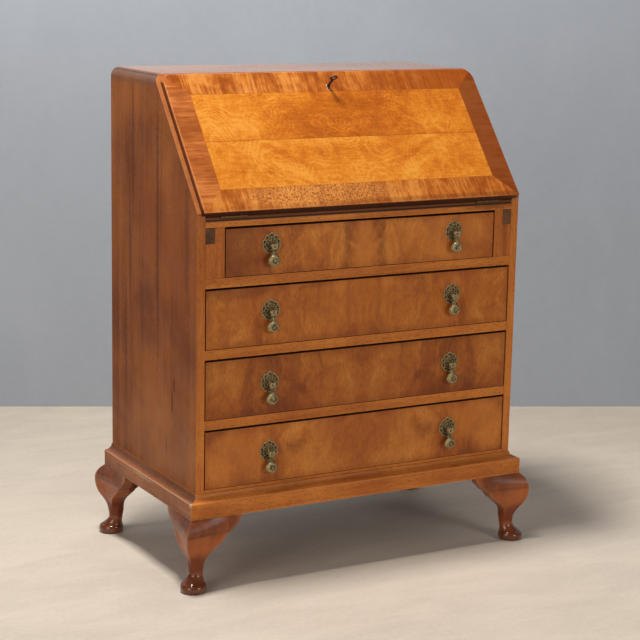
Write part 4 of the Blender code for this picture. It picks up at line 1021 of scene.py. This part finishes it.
# Distance forward and radius
BOLT = ((-NUT_Y - 0.0052, 0.0017), (-NUT_Y - 0.005, 0.0021), (-NUT_Y, 0.0022), (0.208, 0.0022),
        (0.2095, 0.0034), (0.2105, 0.0034), (0.2115, 0.0024), (0.2155, 0.0021), (0.2168, 0.0019))
NUT = ((-NUT_Y - 0.003, 0.0044), (-NUT_Y - 0.0026, 0.0048), (-NUT_Y - 0.0004, 0.0048), (-NUT_Y, 0.0044))


def rose_radius(turn):
    """The rose's outline: ten lobes, the top one drawn up into a crest."""
    return ROSE_RADIUS * (1 - 0.05 * math.cos(LOBES * turn) + 0.1 * max(0, math.sin(turn)) ** 24)


def rose_point(share, turn):
    radius = share * rose_radius(turn)
    return (radius * math.cos(turn), radius * math.sin(turn))


def rose_relief(x, z):
    """How far the rose stands forward: a domed boss, a bead round it, ribs and a raised rim."""
    turn = math.atan2(z, x)
    share = math.hypot(x, z) / rose_radius(turn)

    def ridge(middle, width):
        return math.exp(-((share - middle) / width) ** 2)
    height = 0.0009 + 0.0007 * ridge(0.95, 0.06) + 0.0006 * ridge(0.6, 0.05) + 0.0007 * ridge(0.34, 0.05)
    height += 0.0015 * math.sqrt(max(0, 1 - (share / 0.26) ** 2))
    return height - 0.00035 * math.cos(LOBES * turn) * ridge(0.8, 0.1)


def rose_net():
    """The rose's flat net of faces, pierced by two rings of holes."""
    places = {}
    points = []

    def index(point):
        key = (round(point[0], 7), round(point[1], 7))
        if key not in places:
            places[key] = len(points)
            points.append(point)
        return places[key]

    faces = []
    turns = [math.tau * i / STEPS for i in range(STEPS)]
    for shares in RING_SHARES:
        for inner, outer in zip(shares, shares[1:]):
            for start, end in zip(turns, turns[1:] + turns[:1]):
                corners = ((inner, start), (outer, start), (outer, end), (inner, end))
                faces.append([index(rose_point(*corner)) for corner in corners])
    faces.append([index(rose_point(RING_SHARES[0][0], turn)) for turn in turns])
    across = STEPS // LOBES
    for inner, outer, shift, centre, half_share, half_turn in HOLE_RINGS:
        for k in range(LOBES):
            first = int((k - 0.5 + shift) * across)
            arc = [math.tau * (first + i) / STEPS for i in range(across + 1)]
            middle = (arc[0] + arc[-1]) / 2
            rim = [(inner, turn) for turn in arc]
            rim += [(inner + (outer - inner) * j / 3, arc[-1]) for j in (1, 2)]
            rim += [(outer, turn) for turn in reversed(arc)]
            rim += [(outer - (outer - inner) * j / 3, arc[0]) for j in (1, 2)]
            hole = []
            for share, turn in rim:
                angle = math.atan2((share - centre) / (outer - inner), (turn - middle) / (arc[-1] - arc[0]))
                hole.append((centre + half_share * math.sin(angle), middle + half_turn * math.cos(angle)))
            rings = []
            for part in (0, 0.5, 1):
                rings.append([index(rose_point(a + (c - a) * part, b + (d - b) * part))
                              for (a, b), (c, d) in zip(rim, hole)])
            for near, far in zip(rings, rings[1:]):
                for i in range(len(near)):
                    j = (i + 1) % len(near)
                    faces.append([near[j], near[i], far[i], far[j]])
    return points, faces


ROSE_POINTS, ROSE_FACES = rose_net()


def rose(node, x, z):
    """A handle's plate: pierced rose, bolt through the front, nut behind it and eye before it."""
    bm = bmesh.new()
    forward = (X_AXIS, Z_AXIS, (0, -1, 0))
    slab(bm, ROSE_POINTS, ROSE_FACES, lambda a, b: (x + a, ROSE_BACK, z + ROSE_LIFT + b),
         lambda a, b: (x + a, ROSE_BACK - rose_relief(a, b), z + ROSE_LIFT + b))
    pierced = len(bm.faces)
    # A dark disc behind the rose, grime and painted shade, so that its holes show dark
    turned(bm, (x, 0, z + ROSE_LIFT), forward,
           [(-ROSE_BACK, GRIME_AND_SHADE_RADIUS), (-ROSE_BACK + GRIME_AND_SHADE_PROUD, GRIME_AND_SHADE_RADIUS)], 36)
    painted(bm, pierced)
    turned(bm, (x, 0, z), forward, BOLT, 20)
    turned(bm, (x, 0, z), forward, NUT, 6)
    for offset, rod in ((0, 0.00075), (-0.0008, 0.00072), (0.0008, 0.00072)):
        hoop(bm, (x + offset, PIVOT_Y, z), Z_AXIS, Y_AXIS, (0.00265, 0.00265), rod, 24, 8)
    stand_for(node, outward(bm), "aged_brass", OLD_BRASS, GRIME_AND_SHADE, sharp=50)


# Distance below the pivot and radius
PEAR = [
    [0.0058, 0.0016], [0.0064, 0.0023], [0.01, 0.0024], [0.0135, 0.0033], [0.0168, 0.0054],
    [0.0205, 0.0086], [0.025, 0.0117], [0.03, 0.0135], [0.035, 0.0126], [0.039, 0.0092],
    [0.0412, 0.0046], [0.0418, 0.0022], [0.0426, 0.0024], [0.043, 0.0012],
]
PEAR_MIDDLE = 0.0298
PEAR_FLATNESS = 0.34
MEDALLION = (
    (0.002, 0.0114), (0.0038, 0.0104), (0.005, 0.0094), (0.0057, 0.0084), (0.006, 0.0074),
    (0.0057, 0.0066), (0.0053, 0.0058), (0.0052, 0.0046), (0.0053, 0.0034), (0.0059, 0.0026),
    (0.0064, 0.0016), (0.0066, 0.0006),
)
CROSSBAR = ((-0.0078, 0.0006), (-0.0074, 0.0016), (-0.0064, 0.0021), (-0.0057, 0.0014),
            (0.0057, 0.0014), (0.0064, 0.0021), (0.0074, 0.0016), (0.0078, 0.0006))
YOKE_BEHIND = 0.0018
YOKE_BEFORE = 0.002
YOKE = (
    (-0.0058, 0.0034), (-0.0058, -0.0046), (-0.0034, -0.0068), (0.0034, -0.0068), (0.0058, -0.0046),
    (0.0058, 0.0034), (0.004, 0.0044), (0.0022, 0.0034), (0.0022, -0.0041), (-0.0022, -0.0041),
    (-0.0022, 0.0034), (-0.004, 0.0044),
)


def drop(node, x, z):
    """A flattened pear with a ringed medallion, hung by a yoke and crossbar."""
    bm = bmesh.new()
    place = (x, PIVOT_Y, z)
    turned(bm, place, (X_AXIS, Y_AXIS, (0, 0, -1)), smoothed(PEAR, 3), 36, PEAR_FLATNESS)
    turned(bm, (x, PIVOT_Y, z - PEAR_MIDDLE), (X_AXIS, Z_AXIS, (0, -1, 0)), MEDALLION, 36)
    pear = len(bm.faces)
    prism(bm, YOKE, lambda a, b: (x + a, PIVOT_Y + YOKE_BEHIND, z + b),
          lambda a, b: (x + a, PIVOT_Y - YOKE_BEFORE, z + b))
    painted(bm, pear)
    turned(bm, place, (Y_AXIS, Z_AXIS, X_AXIS), CROSSBAR, 14)
    stand_for(node, outward(bm), "aged_brass", DROP_BRASS, OLD_BRASS, sharp=50)


for name in ("top_drawer", "drawer_3", "drawer_2", "drawer_1"):
    for word in ("left", "right"):
        handle = name + "_" + word
        low, high = box_of(handle + "_drop")
        middle, pivot_z = (low[0] + high[0]) / 2, high[2] - PIVOT_BELOW_TOP
        rose(handle + "_plate", middle, pivot_z)
        drop(handle + "_drop", middle, pivot_z)

# Key and escutcheon, drawn in the fall's own plane about the keyhole
KEY_UP = 0.288428
HOLE_STEPS = 14
HEAD_UP = 0.0012
# Head radius, foot and half slot of the escutcheon's outline, crest and hole
RIM_LOOPS = ((0.0046, -0.01, 0.0034), (0.0038, -0.0092, 0.0026), (0.003, -0.0084, 0.0018))
DARK_LOOP = (0.0031, -0.0085, 0.0019)
# Distance out of the fall and radius
SHANK = [
    [-0.0148, 0.0014], [-0.014, 0.002], [0.0004, 0.002], [0.001, 0.0038], [0.0024, 0.004],
    [0.0036, 0.0026], [0.012, 0.0024], [0.019, 0.0025], [0.02, 0.0036], [0.0212, 0.0036],
    [0.0222, 0.0026], [0.0255, 0.0024],
]
BIT = ((0.001, -0.0138), (0.0062, -0.0138), (0.0062, -0.0126), (0.0048, -0.0126), (0.0048, -0.0114),
       (0.0062, -0.0114), (0.0062, -0.0102), (0.001, -0.0102))


def on_fall(across, up, out):
    return (Vector(FALL_ORIGIN) + Vector(X_AXIS) * across + Vector(UP_THE_FALL) * (KEY_UP + up)
            + Vector(OUT_OF_THE_FALL) * (FALL_FACE + out))


def arc(radius, up, start, sweep):
    turns = [start + sweep * i / (HOLE_STEPS - 1) for i in range(HOLE_STEPS)]
    return [(radius * math.cos(turn), up + radius * math.sin(turn)) for turn in turns]


def keyhole(head, foot, slot):
    """A keyhole's outline: a round head over a slot that reaches down to foot."""
    spread = math.asin(slot / head)
    return (arc(head, HEAD_UP, -math.pi / 2 + spread, math.tau - 2 * spread)
            + arc(slot, foot + slot, math.pi, math.pi))


def escutcheon():
    """A keyhole-shaped brass rim round a dark hole; the hole's dark is painted shade on a plug."""
    loops = [keyhole(*loop) for loop in RIM_LOOPS]
    points = [point for loop in loops for point in loop]
    count = len(loops[0])
    faces = []
    for start in (0, count):
        for i in range(count):
            j = (i + 1) % count
            faces.append([start + j, start + i, start + count + i, start + count + j])
    proud = {point: 0.0008 if count <= i < 2 * count else 0.0003 for i, point in enumerate(points)}
    bm = bmesh.new()
    slab(bm, points, faces, lambda a, b: on_fall(a, b, -0.0022), lambda a, b: on_fall(a, b, proud[a, b]))
    stand_for("escutcheon", outward(bm), "aged_brass", RIM_BRASS, sharp=60)
    # A dark plug in the hole: painted shade
    bm = bmesh.new()
    prism(bm, keyhole(*DARK_LOOP), lambda a, b: on_fall(a, b, -0.0006), lambda a, b: on_fall(a, b, 0.0001))
    hole = as_object("keyhole_dark", outward(bm), GAP_SHADE_WOOD)
    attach(hole, body_of("escutcheon"))


def key():
    """A key with a flat ring bow, collars on its shank and a bit."""
    bm = bmesh.new()
    turned(bm, on_fall(0, 0, 0), (X_AXIS, UP_THE_FALL, OUT_OF_THE_FALL), smoothed(SHANK, 2), 18)
    hoop(bm, on_fall(0, 0, 0.0305), X_AXIS, OUT_OF_THE_FALL, (0.0068, 0.0053), 0.002, 36, 10)
    prism(bm, BIT, lambda a, b: on_fall(a, -0.0009, b), lambda a, b: on_fall(a, 0.0009, b))
    stand_for("key", outward(bm), "dark_iron", IRON, sharp=50)


escutcheon()
key()

# Stage, lights and camera
CAMERA_PLACE = Vector((-1.859, -3.342, 1.276))
CAMERA_YAW = math.radians(29.26)
CAMERA_PITCH = math.radians(11.67)
CAMERA_ROLL = math.radians(1.11)
CAMERA_FOCAL_PX = 1802
FRAME_PX = 640
SENSOR = 36
WALL_ROW_PX = 406.5
HALF_STAGE = 12
WORLD_COLOUR = (1, 0.95, 0.88, 1)
WORLD_STRENGTH = 0.11
AIM = Vector((0, 0, 0.5))
# Place, size, power and colour
LAMPS = (
    ("key_light", (-0.68, -0.05, 3.4), 0.6, 99, (1, 0.98, 0.95)),
    ("right_fill", (1.1, -3.4, 1.3), 1.2, 28, (1, 0.98, 0.96)),
    ("left_fill", (-3.1, -1.5, 1.4), 1.6, 28, (1, 0.98, 0.96)),
)

camera_turn = (Matrix.Rotation(-CAMERA_YAW, 4, "Z") @ Matrix.Rotation(math.pi / 2 - CAMERA_PITCH, 4, "X")
               @ Matrix.Rotation(CAMERA_ROLL, 4, "Z"))
rightward, upward, backward = camera_turn.to_3x3().transposed()


def on_floor(column, row):
    """The floor point that the camera shows at that place in its frame."""
    ray = rightward * (column - FRAME_PX / 2) - upward * (row - FRAME_PX / 2) - backward * CAMERA_FOCAL_PX
    return CAMERA_PLACE - ray * (CAMERA_PLACE.z / ray.z)


def plain_surface(name, light, dark, scale, rough, one_sided=False):
    """A plain surface with faint clouds and smears."""
    material, place = new_material(name)
    blend = noise(place, scale, 3)
    smear = noise(place, scale * 3, 4, 0.6, 0.8, (1, 3, 1))
    fine = noise(place, scale * 60, 2)
    colour = mix(span(0.4 * blend + 0.4 * smear + 0.2 * fine, 0.36, 0.64), dark, light)
    return finish(material, colour, rough, bump(fine, 0.0005, 0.2), specular=0.3, one_sided=one_sided)


def plane(name, corners, material):
    bm = bmesh.new()
    bm.faces.new([bm.verts.new(corner) for corner in corners])
    as_object(name, bm, material)


plane("floor", [(x * HALF_STAGE, y * HALF_STAGE, 0) for x, y in ((-1, -1), (1, -1), (1, 1), (-1, 1))],
      plain_surface("floor_card", (219, 206, 189), (204, 191, 176), 1.5, 0.7))
left_foot, right_foot = on_floor(0, WALL_ROW_PX), on_floor(FRAME_PX, WALL_ROW_PX)
run = (right_foot - left_foot).normalized() * HALF_STAGE
foot = (left_foot + right_foot) / 2
rise = Vector((0, 0, HALF_STAGE / 2))
plane("wall", [foot - run, foot + run, foot + run + rise, foot - run + rise],
      plain_surface("wall_card", (172, 179, 189), (165, 172, 182), 0.8, 0.8, one_sided=True))

for name, place, size, power, colour in LAMPS:
    data = bpy.data.lights.new(name, "AREA")
    data.shape = "RECTANGLE"
    data.size = data.size_y = size
    data.energy = power
    data.color = colour
    lamp = bpy.data.objects.new(name, data)
    lamp.location = place
    lamp.rotation_mode = "QUATERNION"
    lamp.rotation_quaternion = (AIM - Vector(place)).to_track_quat("-Z", "Y")
    bpy.context.scene.collection.objects.link(lamp)

world = bpy.data.worlds.new("studio")
bpy.context.scene.world = world
world.use_nodes = True
background = world.node_tree.nodes["Background"]
background.inputs["Color"].default_value = WORLD_COLOUR
background.inputs["Strength"].default_value = WORLD_STRENGTH

camera_data = bpy.data.cameras.new("camera")
camera_data.sensor_width = SENSOR
camera_data.lens = CAMERA_FOCAL_PX / FRAME_PX * SENSOR
camera = bpy.data.objects.new("camera", camera_data)
camera.matrix_world = Matrix.Translation(CAMERA_PLACE) @ camera_turn
bpy.context.scene.collection.objects.link(camera)
bpy.context.scene.camera = camera
bpy.context.scene.view_settings.view_transform = "Standard"
